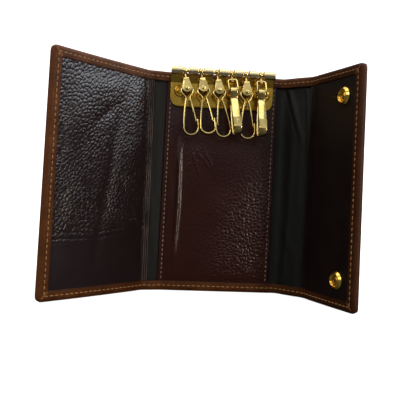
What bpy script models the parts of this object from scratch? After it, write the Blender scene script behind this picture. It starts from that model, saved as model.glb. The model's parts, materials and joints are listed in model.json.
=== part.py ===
"""Trifold leather key case: a stitched cover that folds at two soft spines, and a brass
key row whose six spring hooks swing on a rod, turn on their hangers and open by a gate.

Origin: centre of the flat back face of the middle panel. X runs to the right, the hooks
face -Y and +Z is up. The case stands open, with both flaps part of the way closed.
"""
import math

import bmesh
import bpy
from mathutils import Matrix, Vector

MM = 0.001
GAP = 0.3 * MM

# Case
CASE_HEIGHT = 109.0 * MM
CASE_THICKNESS = 3.5 * MM
COVER_THICKNESS = 1.4 * MM
BORDER = 5.0 * MM
CORNER_RADIUS = 3.0 * MM
LINING = (-1.7 * MM, -2.2 * MM)
PANEL = (-2.5 * MM, -3.2 * MM)
CENTRE_LEFT = -27.0 * MM
CENTRE_RIGHT = 31.5 * MM
LEFT_SPINE = 9.0 * MM
RIGHT_SPINE = 15.5 * MM
LEFT_FLAP = 57.5 * MM
RIGHT_FLAP = 39.0 * MM
CENTRE_PANEL = (-26.3 * MM, 28.0 * MM)

# Folds: the hinge line lies in the inner panels' surface
HINGE_DEPTH = 3.2 * MM
FOLD_GAP = 0.4 * MM
LEFT_FOLD_A = 12.0
LEFT_FOLD_B = 32.0
RIGHT_FOLD_A = 43.0
RIGHT_FOLD_B = 28.0

# Snap fasteners
SNAP_HEIGHT = 41.3 * MM
SNAP_FROM_FOLD = 26.5 * MM
STUD_FROM_FOLD = CENTRE_RIGHT - CENTRE_LEFT - SNAP_FROM_FOLD
POST_RADIUS = 1.2 * MM
SNAP_BORE = 1.6 * MM
EYELET_WELL = 3.2 * MM

# Key plate
PLATE_WIDTH = 51.3 * MM
PLATE_THICKNESS = 0.8 * MM
PLATE_DROP = 17.0 * MM
PLATE_CORNER = 4.5 * MM
NECK_DROP = 5.0 * MM
KNUCKLE_RADIUS = 2.1 * MM
KNUCKLE_BORE = 1.05 * MM
ROD_RADIUS = 0.75 * MM
ROD_OUT = 4.4 * MM
ROD_HEIGHT = CASE_HEIGHT / 2 - 0.2 * MM
HOOK_COUNT = 6
HOOK_PITCH = 7.4 * MM
SLOT_WIDTH = 2.75 * MM
SLOT_DROP = 4.0 * MM
RIVET_X = 21.0 * MM
RIVET_DROP = 9.4 * MM
RIVET_BORE = 1.4 * MM
RIVET_WELL = 2.1 * MM

# Hook
EYE_RING = 1.35 * MM
EYE_WIRE = 0.4 * MM
STEM_RADIUS = 0.6 * MM
STEM_HEAD_RADIUS = 1.15 * MM
YOKE_TOP = -3.4 * MM
YOKE_BOTTOM = -11.0 * MM
YOKE_HALF_SPAN = 2.4 * MM
YOKE_SHEET = 0.5 * MM
YOKE_LEG_RADIUS = 2.25 * MM
YOKE_ARCH_HALF = 1.0 * MM
PIN_HEIGHT = -9.0 * MM
PIN_RADIUS = 0.6 * MM
STRIP_WIDTH = 3.4 * MM
STRIP_THICKNESS = 0.6 * MM
WAIST_HEIGHT = -14.0 * MM
WAIST_HALF = 0.95 * MM
LOOP_CENTRE = -28.3 * MM
LOOP_RADIUS = 3.5 * MM
GATE_TOP = (1.0 * MM, -14.5 * MM)

# Each hook at rest: shift along the rod, forward tilt, sideways lean and turn, in
# millimetres and degrees
HOOK_POSES = (
    (-0.5, 5.0, 8.0, 0.0),
    (0.0, 12.0, 8.0, 0.0),
    (0.5, 4.0, 8.0, 180.0),
    (0.1, 17.5, 5.5, -90.0),
    (0.0, 4.0, 3.0, 0.0),
    (0.0, 16.5, 0.5, -90.0),
)

COLOURS = {
    "cover_leather": ((0.075, 0.028, 0.014), 0.45, 0.0),
    "pebbled_leather": ((0.024, 0.017, 0.018), 0.4, 0.0),
    "panel_leather": ((0.028, 0.010, 0.007), 0.35, 0.0),
    "smooth_leather": ((0.009, 0.006, 0.006), 0.35, 0.0),
    "lining": ((0.010, 0.009, 0.009), 0.6, 0.0),
    "plate_brass": ((0.62, 0.45, 0.14), 0.25, 1.0),
    "hook_brass": ((0.70, 0.55, 0.24), 0.22, 1.0),
    "snap_brass": ((0.66, 0.43, 0.10), 0.25, 1.0),
}


def clear_scene():
    for obj in list(bpy.data.objects):
        bpy.data.objects.remove(obj, do_unlink=True)


def make_collection(name):
    collection = bpy.data.collections.new(name)
    bpy.context.scene.collection.children.link(collection)
    return collection


def make_materials():
    materials = {}
    for name, (colour, roughness, metallic) in COLOURS.items():
        material = bpy.data.materials.new(name)
        material.use_nodes = True
        shader = material.node_tree.nodes["Principled BSDF"]
        shader.inputs["Base Color"].default_value = (*colour, 1.0)
        shader.inputs["Roughness"].default_value = roughness
        shader.inputs["Metallic"].default_value = metallic
        materials[name] = material
    return materials


clear_scene()
PARTS = make_collection("key_case")
CUTTERS = make_collection("cutters")
MATERIALS = make_materials()


# ---------------------------------------------------------------- mesh helpers


def link(name, data, collection, parent=None):
    obj = bpy.data.objects.new(name, data)
    collection.objects.link(obj)
    obj.parent = parent
    return obj


def add_part(name, mesh, material, parent=None):
    if not mesh.materials:
        mesh.materials.append(MATERIALS[material])
    return link(name, mesh, PARTS, parent)


def add_cutter(name, mesh, parent=None):
    cutter = link(name, mesh, CUTTERS, parent)
    cutter.hide_render = True
    cutter.display_type = "WIRE"
    return cutter


def combine(obj, other, operation):
    modifier = obj.modifiers.new(other.name, "BOOLEAN")
    modifier.object = other
    modifier.operation = operation


def bake(obj, helpers=()):
    """The object's evaluated mesh; the object and its helpers are removed."""
    depsgraph = bpy.context.evaluated_depsgraph_get()
    mesh = bpy.data.meshes.new_from_object(obj.evaluated_get(depsgraph))
    mesh.name = obj.name
    for used in (obj, *helpers):
        bpy.data.objects.remove(used, do_unlink=True)
    return mesh


def smooth(mesh, angle=40.0):
    mesh.shade_smooth()
    mesh.set_sharp_from_angle(angle=math.radians(angle))
    return mesh


def box(name, low, high):
    mesh = bpy.data.meshes.new(name)
    bm = bmesh.new()
    bmesh.ops.create_cube(bm, size=1.0)
    low = Vector(low)
    high = Vector(high)
    bmesh.ops.scale(bm, vec=high - low, verts=bm.verts)
    bmesh.ops.translate(bm, vec=(low + high) / 2, verts=bm.verts)
    bm.to_mesh(mesh)
    bm.free()
    return mesh


def round_corners(mesh, x_edge, radius):
    """Round the two corners of a slab where its end at x_edge meets the top and the
    bottom."""
    bm = bmesh.new()
    bm.from_mesh(mesh)
    edges = []
    for edge in bm.edges:
        a, b = (vertex.co for vertex in edge.verts)
        across = abs(a.y - b.y) > radius / 4 and abs(a.z - b.z) < MM / 100
        if across and abs(a.x - x_edge) < MM / 100 and abs(b.x - x_edge) < MM / 100:
            edges.append(edge)
    bmesh.ops.bevel(bm, geom=edges, offset=radius, segments=4, profile=0.5, affect="EDGES")
    bm.to_mesh(mesh)
    bm.free()
    return mesh


def cylinder(name, radius, length, axis, segments=16):
    mesh = bpy.data.meshes.new(name)
    bm = bmesh.new()
    bmesh.ops.create_cone(
        bm, cap_ends=True, segments=segments, radius1=radius, radius2=radius, depth=length
    )
    bm.to_mesh(mesh)
    bm.free()
    mesh.transform(Vector((0, 0, 1)).rotation_difference(Vector(axis)).to_matrix().to_4x4())
    return mesh


def turned(name, profile, steps=20, ring=False):
    """A profile of (radius, height) points turned about Z. It runs down the outer side;
    a ring's profile is closed and stays off the axis."""
    mesh = bpy.data.meshes.new(name)
    points = [(radius, 0, height) for radius, height in profile]
    edges = [(i, i + 1) for i in range(len(points) - 1)]
    if ring:
        edges.append((len(points) - 1, 0))
    mesh.from_pydata(points, edges, [])
    obj = link(name, mesh, PARTS)
    screw = obj.modifiers.new("turn", "SCREW")
    screw.steps = steps
    screw.render_steps = steps
    screw.use_merge_vertices = True
    screw.merge_threshold = 1e-6
    return smooth(bake(obj))


def arc(centre, radius, start, end, count):
    """Points on an arc, with the angles in degrees."""
    points = []
    for i in range(count + 1):
        angle = math.radians(start + (end - start) * i / count)
        points.append((centre[0] + radius * math.cos(angle), centre[1] + radius * math.sin(angle)))
    return points


def plate_from_outline(name, outline, thickness, holes=()):
    """A flat sheet in XY, centred on Z = 0."""
    curve = bpy.data.curves.new(name, "CURVE")
    curve.dimensions = "2D"
    curve.fill_mode = "BOTH"
    curve.extrude = thickness / 2
    for loop in (outline, *holes):
        spline = curve.splines.new("POLY")
        spline.points.add(len(loop) - 1)
        for point, (x, y) in zip(spline.points, loop):
            point.co = (x, y, 0, 1)
        spline.use_cyclic_u = True
    mesh = bake(link(name, curve, PARTS))
    bm = bmesh.new()
    bm.from_mesh(mesh)
    bmesh.ops.remove_doubles(bm, verts=bm.verts, dist=1e-6)
    bm.to_mesh(mesh)
    bm.free()
    return mesh


def strip(name, points, width, thickness):
    """A strip of sheet bent along (x, z) points, with its width along Y."""
    mesh = bpy.data.meshes.new(name)
    verts = []
    faces = []
    for x, z in points:
        verts += [(x, -width / 2, z), (x, width / 2, z)]
    for i in range(len(points) - 1):
        faces.append((2 * i, 2 * i + 1, 2 * i + 3, 2 * i + 2))
    mesh.from_pydata(verts, [], faces)
    obj = link(name, mesh, PARTS)
    shell = obj.modifiers.new("sheet", "SOLIDIFY")
    shell.thickness = thickness
    shell.offset = 0
    shell.use_even_offset = True
    return smooth(bake(obj))


# A 2D outline drawn as (x, z) is laid in XZ, and one drawn as (-y, z) in YZ
LAY_IN_XZ = Matrix(((1, 0, 0, 0), (0, 0, -1, 0), (0, 1, 0, 0), (0, 0, 0, 1)))
LAY_IN_YZ = Matrix(((0, 0, -1, 0), (-1, 0, 0, 0), (0, 1, 0, 0), (0, 0, 0, 1)))


# ------------------------------------------------------------------- the case


def fold_empty(name, x, y, angle, parent=None):
    empty = link(name, None, PARTS, parent)
    empty.location = (x, y, 0)
    empty.rotation_euler = (0, 0, math.radians(angle))
    return empty


def slab(low_x, high_x, layer, half_height, at_hinge):
    """A box between two X values in one layer of the case. On a folding panel, Y is
    counted from the hinge line."""
    lift = HINGE_DEPTH if at_hinge else 0.0
    x0, x1 = sorted((low_x, high_x))
    return box("slab", (x0, layer[1] + lift, -half_height), (x1, layer[0] + lift, half_height))


def add_cover(name, near, far, parent=None, closed_end=False, far_cut=None):
    """A panel of the cover: sheet leather with its edges turned in, from near the fold
    to far. closed_end turns in the far edge too."""
    half = CASE_HEIGHT / 2
    folding = parent is not None
    body = slab(near, far, (0.0, -CASE_THICKNESS), half, folding)
    if closed_end:
        round_corners(body, far, CORNER_RADIUS)
    cover = add_part(name, body, "cover_leather", parent)
    outward = 1 if far > near else -1
    stop = far - outward * BORDER if closed_end else far + outward * BORDER
    well = slab(
        near - outward * BORDER,
        stop,
        (-COVER_THICKNESS, -2 * CASE_THICKNESS),
        half - BORDER,
        folding,
    )
    combine(cover, add_cutter(name + "_well", well, parent), "DIFFERENCE")
    return cover


def add_layer(name, near, far, layer, material, parent=None):
    mesh = slab(near, far, layer, CASE_HEIGHT / 2 - BORDER - GAP, parent is not None)
    return add_part(name, mesh, material, parent)


def drill(parts, name, place, radius, parent=None):
    """Drill through parts from front to back."""
    cutter = add_cutter(name, cylinder(name, radius, 20 * MM, (0, 1, 0)), parent)
    cutter.location = place
    for part in parts:
        combine(part, cutter, "DIFFERENCE")


def build_centre():
    add_cover("centre_cover", CENTRE_LEFT + FOLD_GAP, CENTRE_RIGHT - FOLD_GAP)
    lining = add_layer(
        "centre_lining",
        CENTRE_LEFT + FOLD_GAP + GAP,
        CENTRE_RIGHT - FOLD_GAP - GAP,
        LINING,
        "lining",
    )
    panel = add_layer("centre_panel", *CENTRE_PANEL, PANEL, "panel_leather")
    for side, x in (("left", -RIVET_X), ("right", RIVET_X)):
        height = ROD_HEIGHT - RIVET_DROP
        drill([panel], "rivet_bore_" + side, (x, 0, height), RIVET_BORE)
        drill([lining], "rivet_well_" + side, (x, 0, height), RIVET_WELL)


def build_spine(side, outward, hinge, width):
    """A spine's cover and lining, between its two folds."""
    near = outward * FOLD_GAP
    far = outward * (width - FOLD_GAP)
    add_cover(side + "_spine_cover", near, far, hinge)
    inset = outward * GAP
    add_layer(side + "_spine_lining", near + inset, far - inset, LINING, "lining", hinge)


def build_flap(side, outward, hinge, width, panel_material):
    near = outward * FOLD_GAP
    far = outward * width
    inner_far = outward * (width - BORDER - GAP)
    inset = outward * GAP
    cover = add_cover(side + "_flap_cover", near, far, hinge, closed_end=True)
    lining = add_layer(
        side + "_flap_lining", near + inset, inner_far, LINING, "lining", hinge
    )
    pocket = add_layer(
        side + "_pocket", near + inset, inner_far, PANEL, panel_material, hinge
    )
    return cover, lining, pocket


def build_case():
    """Both sides fold forwards: the left ones turn one way about Z, the right ones the
    other."""
    left_a = fold_empty("left_fold_a", CENTRE_LEFT, -HINGE_DEPTH, LEFT_FOLD_A)
    left_b = fold_empty("left_fold_b", -LEFT_SPINE, 0, LEFT_FOLD_B, left_a)
    right_a = fold_empty("right_fold_a", CENTRE_RIGHT, -HINGE_DEPTH, -RIGHT_FOLD_A)
    right_b = fold_empty("right_fold_b", RIGHT_SPINE, 0, -RIGHT_FOLD_B, right_a)
    build_centre()
    build_spine("left", -1, left_a, LEFT_SPINE)
    build_spine("right", 1, right_a, RIGHT_SPINE)
    left = build_flap("left", -1, left_b, LEFT_FLAP, "pebbled_leather")
    right = build_flap("right", 1, right_b, RIGHT_FLAP, "smooth_leather")
    build_studs(left, left_b)
    build_sockets(right, right_b)


# ------------------------------------------------------------------ the snaps

# Snap profiles stand on the leather's face at height 0
SEAT = 0.15 * MM
SOCKET_TOP = 1.65 * MM
SOCKET_FLOOR = 0.75 * MM


def socket_mesh():
    outer = 4.1 * MM
    recess = 2.6 * MM
    profile = [(recess, SOCKET_TOP - 0.15 * MM), (recess + 0.2 * MM, SOCKET_TOP)]
    profile += [(outer - 0.9 * MM, SOCKET_TOP), (outer - 0.3 * MM, SOCKET_TOP - 0.25 * MM)]
    profile += [(outer, SOCKET_TOP - 0.8 * MM), (outer, SEAT), (SNAP_BORE, SEAT)]
    profile += [(SNAP_BORE, SOCKET_FLOOR), (recess, SOCKET_FLOOR)]
    return turned("snap_socket", profile, 18, ring=True)


def cap_mesh():
    """The domed cap outside the flap, with its post through the leather and the end of
    the post rolled over inside the socket. Height 0 is the cap's seat on the leather,
    and the post runs down."""
    radius = 5.5 * MM
    rise = 1.7 * MM
    through = CASE_THICKNESS - 0.3 * MM + SOCKET_FLOOR + SEAT
    profile = [(0.0, rise)]
    for x, height in arc((0, 0), 1.0, 70, 0, 4):
        profile.append((radius * x, 0.5 * MM + (rise - 0.5 * MM) * height))
    profile += [(radius, SEAT), (POST_RADIUS, SEAT), (POST_RADIUS, -through)]
    head = 1.9 * MM
    profile += [(head, -through), (head, -through - 0.15 * MM), (head - 0.3 * MM, -through - 0.3 * MM)]
    profile += [(0.8 * MM, -through - 0.3 * MM), (0.6 * MM, -through), (0.0, -through)]
    return turned("snap_cap", profile, 18)


def stud_mesh():
    tip = 2.1 * MM
    profile = [(2.1 * MM, tip), (2.25 * MM, tip), (2.35 * MM, tip - 0.2 * MM)]
    profile += [(2.35 * MM, tip - 0.6 * MM), (2.3 * MM, 0.75 * MM), (3.2 * MM, 0.65 * MM)]
    profile += [(3.4 * MM, 0.5 * MM), (3.4 * MM, SEAT), (SNAP_BORE, SEAT)]
    profile += [(SNAP_BORE, 0.65 * MM), (2.05 * MM, 0.75 * MM), (2.05 * MM, tip - 0.1 * MM)]
    return turned("snap_stud", profile, 18, ring=True)


def eyelet_mesh():
    """The stud's eyelet: a flange in the lining's well, a barrel through the cover and
    an end rolled over inside the stud. Height 0 is the cover's outer face."""
    bore = 0.8 * MM
    barrel = POST_RADIUS
    profile = [(bore, 1.2 * MM), (1.8 * MM, 1.2 * MM), (1.8 * MM, 1.0 * MM), (barrel, 0.9 * MM)]
    profile += [(barrel, -1.6 * MM), (2.8 * MM, -1.6 * MM), (2.8 * MM, -2.0 * MM)]
    profile += [(bore, -2.0 * MM)]
    return turned("snap_eyelet", profile, 12, ring=True)


def place_snap(name, mesh, distance, height, y, outside, parent):
    """Stand a snap piece on a flap, facing out of the case or into it."""
    obj = add_part(name, mesh, "snap_brass", parent)
    obj.location = (distance, y, height)
    obj.rotation_euler = (math.radians(-90 if outside else 90), 0, 0)


def build_sockets(leathers, hinge):
    cap = cap_mesh()
    socket = socket_mesh()
    for level, height in (("upper", SNAP_HEIGHT), ("lower", -SNAP_HEIGHT)):
        outside = (SNAP_FROM_FOLD, HINGE_DEPTH, height)
        drill(leathers, "snap_bore_" + level, outside, SNAP_BORE + 0.1 * MM, parent=hinge)
        place_snap("snap_cap_" + level, cap, *outside[0::2], HINGE_DEPTH, True, hinge)
        inside = HINGE_DEPTH + PANEL[1]
        place_snap("snap_socket_" + level, socket, *outside[0::2], inside, False, hinge)


def build_studs(leathers, hinge):
    cover, lining, _ = leathers
    stud = stud_mesh()
    eyelet = eyelet_mesh()
    for level, height in (("upper", SNAP_HEIGHT), ("lower", -SNAP_HEIGHT)):
        place = (-STUD_FROM_FOLD, HINGE_DEPTH, height)
        drill([cover], "stud_bore_" + level, place, SNAP_BORE, parent=hinge)
        drill([lining], "eyelet_well_" + level, place, EYELET_WELL, parent=hinge)
        place_snap("snap_stud_" + level, stud, *place[0::2], HINGE_DEPTH, True, hinge)
        place_snap("snap_eyelet_" + level, eyelet, *place[0::2], HINGE_DEPTH, True, hinge)


# -------------------------------------------------------------- the key plate


def sheet_profile():
    """The plate's section as (distance from the leather, height from the rod): a flat
    plate, a neck that slopes forwards and a knuckle rolled round the rod."""
    back = GAP
    front = GAP + PLATE_THICKNESS
    bottom = -PLATE_DROP - MM
    distance = math.hypot(ROD_OUT - back, NECK_DROP)
    slope = math.atan2(NECK_DROP, ROD_OUT - back) + math.asin(KNUCKLE_RADIUS / distance)
    along = Vector((math.cos(slope), math.sin(slope)))
    out = Vector((-math.sin(slope), math.cos(slope)))
    inner = KNUCKLE_RADIUS - PLATE_THICKNESS
    half_chord = math.sqrt(KNUCKLE_RADIUS**2 - inner**2)
    meet = out * inner - along * half_chord
    start = math.degrees(math.atan2(out.y, out.x))
    end = math.degrees(math.atan2(meet.y, meet.x))
    bend = (meet.x + ROD_OUT - front) / along.x
    points = [(back, bottom), (back, -NECK_DROP)]
    points += arc((ROD_OUT, 0), KNUCKLE_RADIUS, start, end, 18)
    points += [(front, meet.y - bend * along.y), (front, bottom)]
    return points


def rounded_plate_outline():
    """The plate seen from the front, as (x, z): square at the top, round at the bottom
    corners."""
    half = PLATE_WIDTH / 2
    top = ROD_HEIGHT + 2 * KNUCKLE_RADIUS
    bottom = ROD_HEIGHT - PLATE_DROP
    radius = PLATE_CORNER
    points = [(half, top), (-half, top)]
    points += arc((-half + radius, bottom + radius), radius, 180, 270, 6)
    points += arc((half - radius, bottom + radius), radius, 270, 360, 6)
    return points


def build_key_plate():
    bore = arc((ROD_OUT, 0), KNUCKLE_BORE, 0, 330, 11)
    mesh = plate_from_outline("key_plate", sheet_profile(), PLATE_WIDTH + 2 * MM, [bore])
    mesh.transform(LAY_IN_YZ)
    mesh.transform(Matrix.Translation((0, -CASE_THICKNESS, ROD_HEIGHT)))
    plate = add_part("key_plate", smooth(mesh, 30), "plate_brass")
    face = plate_from_outline("plate_face", rounded_plate_outline(), 60 * MM)
    face.transform(LAY_IN_XZ)
    combine(plate, add_cutter("plate_face", face), "INTERSECT")
    for i in range(HOOK_COUNT):
        x = hook_station(i)
        low = (x - SLOT_WIDTH / 2, -20 * MM, ROD_HEIGHT - SLOT_DROP)
        high = (x + SLOT_WIDTH / 2, 0, ROD_HEIGHT + 3 * KNUCKLE_RADIUS)
        name = f"knuckle_slot_{i + 1}"
        combine(plate, add_cutter(name, box(name, low, high)), "DIFFERENCE")
    return plate


def rivet_mesh():
    """A tubular rivet. Height 0 is the plate's front face."""
    bore = 0.6 * MM
    barrel = 1.1 * MM
    back = -(GAP + PLATE_THICKNESS + CASE_THICKNESS) - LINING[1]
    profile = [(bore, 0.35 * MM), (0.9 * MM, 0.5 * MM), (1.6 * MM, 0.45 * MM)]
    profile += [(2.3 * MM, 0.2 * MM), (2.3 * MM, 0.12 * MM), (barrel, 0.12 * MM)]
    profile += [(barrel, back), (1.8 * MM, back), (1.8 * MM, back - 0.4 * MM)]
    profile += [(bore, back - 0.4 * MM)]
    return turned("plate_rivet", profile, 16, ring=True)


def build_key_row():
    plate = build_key_plate()
    rivet = rivet_mesh()
    front = -CASE_THICKNESS - GAP - PLATE_THICKNESS
    for side, x in (("left", -RIVET_X), ("right", RIVET_X)):
        height = ROD_HEIGHT - RIVET_DROP
        drill([plate], "plate_bore_" + side, (x, front, height), RIVET_BORE)
        obj = add_part("plate_rivet_" + side, rivet, "plate_brass")
        obj.location = (x, front, height)
        obj.rotation_euler = (math.radians(90), 0, 0)
    rod = cylinder("rod", ROD_RADIUS, PLATE_WIDTH - 0.4 * MM, (1, 0, 0))
    obj = add_part("rod", smooth(rod), "plate_brass")
    obj.location = (0, -CASE_THICKNESS - ROD_OUT, ROD_HEIGHT)


# ------------------------------------------------------------------ the hooks


def hook_station(index):
    return (index - (HOOK_COUNT - 1) / 2) * HOOK_PITCH


def hanger_mesh():
    """The eye on the rod, its stem, and the head that holds the yoke."""
    head_top = YOKE_TOP - YOKE_SHEET - GAP
    profile = [(0.0, -EYE_RING), (STEM_RADIUS, -EYE_RING), (STEM_RADIUS, head_top)]
    profile += [(STEM_HEAD_RADIUS, head_top), (STEM_HEAD_RADIUS, head_top - 0.35 * MM)]
    profile += [(0.7 * MM, head_top - 0.65 * MM), (0.0, head_top - 0.65 * MM)]
    stem = turned("hanger_stem", profile, 10)
    bpy.ops.mesh.primitive_torus_add(
        major_radius=EYE_RING, minor_radius=EYE_WIRE, major_segments=18, minor_segments=6
    )
    ring = bpy.context.object
    ring.name = "hanger"
    ring.data.transform(Matrix.Rotation(math.radians(90), 4, "Y"))
    stem_object = link("hanger_stem", stem, PARTS)
    combine(ring, stem_object, "UNION")
    return smooth(bake(ring, [stem_object]))


def yoke_mesh():
    """An inverted U of sheet, narrow over the hanger and round at the cross pin."""
    outer = YOKE_HALF_SPAN
    inner = outer - YOKE_SHEET
    bend = 1.2 * MM
    top = YOKE_TOP
    low = YOKE_BOTTOM - MM
    section = [(outer, low)] + arc((outer - bend, top - bend), bend, 0, 90, 3)
    section += arc((bend - outer, top - bend), bend, 90, 180, 3) + [(-outer, low), (-inner, low)]
    hollow = bend - YOKE_SHEET
    section += arc((bend - outer, top - bend), hollow, 180, 90, 3)
    section += arc((outer - bend, top - bend), hollow, 90, 0, 3) + [(inner, low)]
    mesh = plate_from_outline("yoke", section, 8 * MM)
    mesh.transform(LAY_IN_YZ)
    yoke = link("yoke", mesh, PARTS)

    radius = YOKE_LEG_RADIUS
    centre = YOKE_BOTTOM + radius
    reach = math.hypot(YOKE_ARCH_HALF, YOKE_TOP - centre)
    lean = math.atan2(YOKE_TOP - centre, YOKE_ARCH_HALF)
    touch = math.degrees(lean - math.acos(radius / reach))
    side = [(YOKE_ARCH_HALF, YOKE_TOP + MM), (YOKE_ARCH_HALF, YOKE_TOP)]
    outline = side + arc((0, centre), radius, touch, -180 - touch, 14)
    outline += [(-x, z) for x, z in reversed(side)]
    leg = plate_from_outline("yoke_side", outline, 10 * MM)
    leg.transform(LAY_IN_XZ)
    side_object = link("yoke_side", leg, PARTS)
    combine(yoke, side_object, "INTERSECT")

    play = 0.25 * MM
    stem = cylinder("stem_hole", STEM_RADIUS + play, 4 * MM, (0, 0, 1), 12)
    stem_hole = link("stem_hole", stem, PARTS)
    stem_hole.location = (0, 0, YOKE_TOP)
    pin = cylinder("pin_hole", PIN_RADIUS + play, 10 * MM, (0, 1, 0), 12)
    pin_hole = link("pin_hole", pin, PARTS)
    pin_hole.location = (0, 0, PIN_HEIGHT)
    combine(yoke, stem_hole, "DIFFERENCE")
    combine(yoke, pin_hole, "DIFFERENCE")
    return smooth(bake(yoke, [side_object, stem_hole, pin_hole]))


def pin_mesh():
    seat = YOKE_HALF_SPAN + 0.1 * MM
    head = 0.95 * MM
    profile = [(0.0, seat + 0.3 * MM), (head - 0.3 * MM, seat + 0.3 * MM), (head, seat + 0.1 * MM)]
    profile += [(head, seat), (PIN_RADIUS, seat)]
    profile += [(radius, -height) for radius, height in reversed(profile)]
    mesh = turned("cross_pin", profile, 10)
    mesh.transform(Matrix.Rotation(math.radians(90), 4, "X"))
    mesh.transform(Matrix.Translation((0, 0, PIN_HEIGHT)))
    return mesh


def spring_line():
    """The strip's centre line as (x, z): up from the gate's end, over the cross pin,
    down the spine and round the loop to the tip that the gate closes against."""
    upper_centre = -10.3 * MM
    upper_half = 2.9 * MM
    upper_rise = 2.5 * MM
    points = []
    bulge = []
    for i in range(4):
        t = i / 4
        ease = 0.5 - 0.5 * math.cos(math.pi * t)
        x = WAIST_HALF + (upper_half - WAIST_HALF) * ease
        bulge.append((x, WAIST_HEIGHT + (upper_centre - WAIST_HEIGHT) * t))
    points += bulge
    for x, z in arc((0, 0), 1.0, 0, 180, 10):
        points.append((upper_half * x, upper_centre + upper_rise * z))
    points += [(-x, z) for x, z in reversed(bulge)]
    spine_steps = 4
    for i in range(1, spine_steps + 1):
        t = i / spine_steps
        ease = t**0.8
        x = -WAIST_HALF - (LOOP_RADIUS - WAIST_HALF) * ease
        points.append((x, WAIST_HEIGHT + (LOOP_CENTRE + 1.5 * MM - WAIST_HEIGHT) * t))
    points += arc((0, LOOP_CENTRE), LOOP_RADIUS, 180, 360, 12)
    points.append((LOOP_RADIUS, LOOP_CENTRE + 1.9 * MM))
    points.append((LOOP_RADIUS + 0.15 * MM, LOOP_CENTRE + 3.8 * MM))
    return points


def gate_line():
    """The gate's centre line, from its flexing end, which is the origin."""
    inside = LOOP_RADIUS - STRIP_THICKNESS - GAP
    end = LOOP_CENTRE + 2.2 * MM
    points = []
    steps = 5
    for i in range(steps + 1):
        t = i / steps
        x = (inside - GATE_TOP[0]) * t**0.8
        points.append((x, (end + 1.5 * MM - GATE_TOP[1]) * t))
    points.append((inside - GATE_TOP[0], end - GATE_TOP[1]))
    return points


def build_hooks():
    hanger = hanger_mesh()
    yoke = yoke_mesh()
    pin = pin_mesh()
    spring = strip("spring_hook", spring_line(), STRIP_WIDTH, STRIP_THICKNESS)
    gate = strip("gate", gate_line(), STRIP_WIDTH, STRIP_THICKNESS)
    for i, (shift, tilt, lean, turn) in enumerate(HOOK_POSES):
        number = i + 1
        swing = link(f"hook_{number}_swing", None, PARTS)
        swing.location = (hook_station(i) + shift * MM, -CASE_THICKNESS - ROD_OUT, ROD_HEIGHT)
        swing.rotation_mode = "ZYX"
        swing.rotation_euler = (math.radians(-tilt), math.radians(-lean), 0)
        swivel = link(f"hook_{number}_swivel", None, PARTS, swing)
        swivel.rotation_euler = (0, 0, math.radians(turn))
        add_part(f"hanger_{number}", hanger, "hook_brass", swing)
        add_part(f"yoke_{number}", yoke, "hook_brass", swivel)
        add_part(f"cross_pin_{number}", pin, "hook_brass", swivel)
        add_part(f"spring_hook_{number}", spring, "hook_brass", swivel)
        gate_object = add_part(f"gate_{number}", gate, "hook_brass", swivel)
        gate_object.location = (GATE_TOP[0], 0, GATE_TOP[1])


build_case()
build_key_row()
build_hooks()
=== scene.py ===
"""The looks of the trifold leather key case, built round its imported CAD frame.

The leather is laid out flat, as (across, out, up) in metres, and then bent through the
case's four folds into its rest pose. Out is negative: 0 is the case's outer face, and the
inner faces lie at about -3 mm. UVs hold the flat place in millimetres, so that grain and
stitching stay on the leather when it bends.
"""
import json
import math

import bmesh
import bpy
import numpy as np
from mathutils import Matrix, Vector

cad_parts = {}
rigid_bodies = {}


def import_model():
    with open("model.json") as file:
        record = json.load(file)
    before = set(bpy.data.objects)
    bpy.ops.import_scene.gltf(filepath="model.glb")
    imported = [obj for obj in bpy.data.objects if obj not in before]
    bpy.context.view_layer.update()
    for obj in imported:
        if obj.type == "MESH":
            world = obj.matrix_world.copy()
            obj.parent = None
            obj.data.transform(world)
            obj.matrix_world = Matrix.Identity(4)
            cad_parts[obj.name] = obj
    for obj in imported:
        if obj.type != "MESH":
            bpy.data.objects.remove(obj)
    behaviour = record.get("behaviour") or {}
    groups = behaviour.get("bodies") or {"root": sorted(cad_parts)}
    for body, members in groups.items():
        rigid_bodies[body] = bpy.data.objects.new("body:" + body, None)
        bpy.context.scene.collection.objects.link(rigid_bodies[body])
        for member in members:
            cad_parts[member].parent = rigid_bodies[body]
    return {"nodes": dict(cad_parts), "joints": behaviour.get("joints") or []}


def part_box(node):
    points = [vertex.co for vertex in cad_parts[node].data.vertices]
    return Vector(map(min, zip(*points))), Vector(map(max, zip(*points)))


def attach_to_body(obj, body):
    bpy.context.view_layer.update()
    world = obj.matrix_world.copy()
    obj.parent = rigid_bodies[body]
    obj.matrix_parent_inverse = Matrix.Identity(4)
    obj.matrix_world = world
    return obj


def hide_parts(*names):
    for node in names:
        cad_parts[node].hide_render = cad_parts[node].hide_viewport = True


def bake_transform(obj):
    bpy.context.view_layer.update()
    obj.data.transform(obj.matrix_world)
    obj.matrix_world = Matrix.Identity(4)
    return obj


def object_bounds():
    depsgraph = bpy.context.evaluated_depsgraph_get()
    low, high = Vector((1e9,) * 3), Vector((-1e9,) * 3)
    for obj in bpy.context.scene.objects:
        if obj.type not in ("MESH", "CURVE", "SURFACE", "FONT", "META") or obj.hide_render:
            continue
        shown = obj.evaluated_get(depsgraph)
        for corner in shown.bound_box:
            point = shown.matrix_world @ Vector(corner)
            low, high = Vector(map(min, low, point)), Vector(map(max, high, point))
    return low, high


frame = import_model()
cad_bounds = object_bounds()

MM = 0.001
WHITE = (1, 1, 1, 1)
JOINTS = {joint["name"]: joint for joint in frame["joints"]}


# ------------------------------------------------------------- materials: helpers


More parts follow.
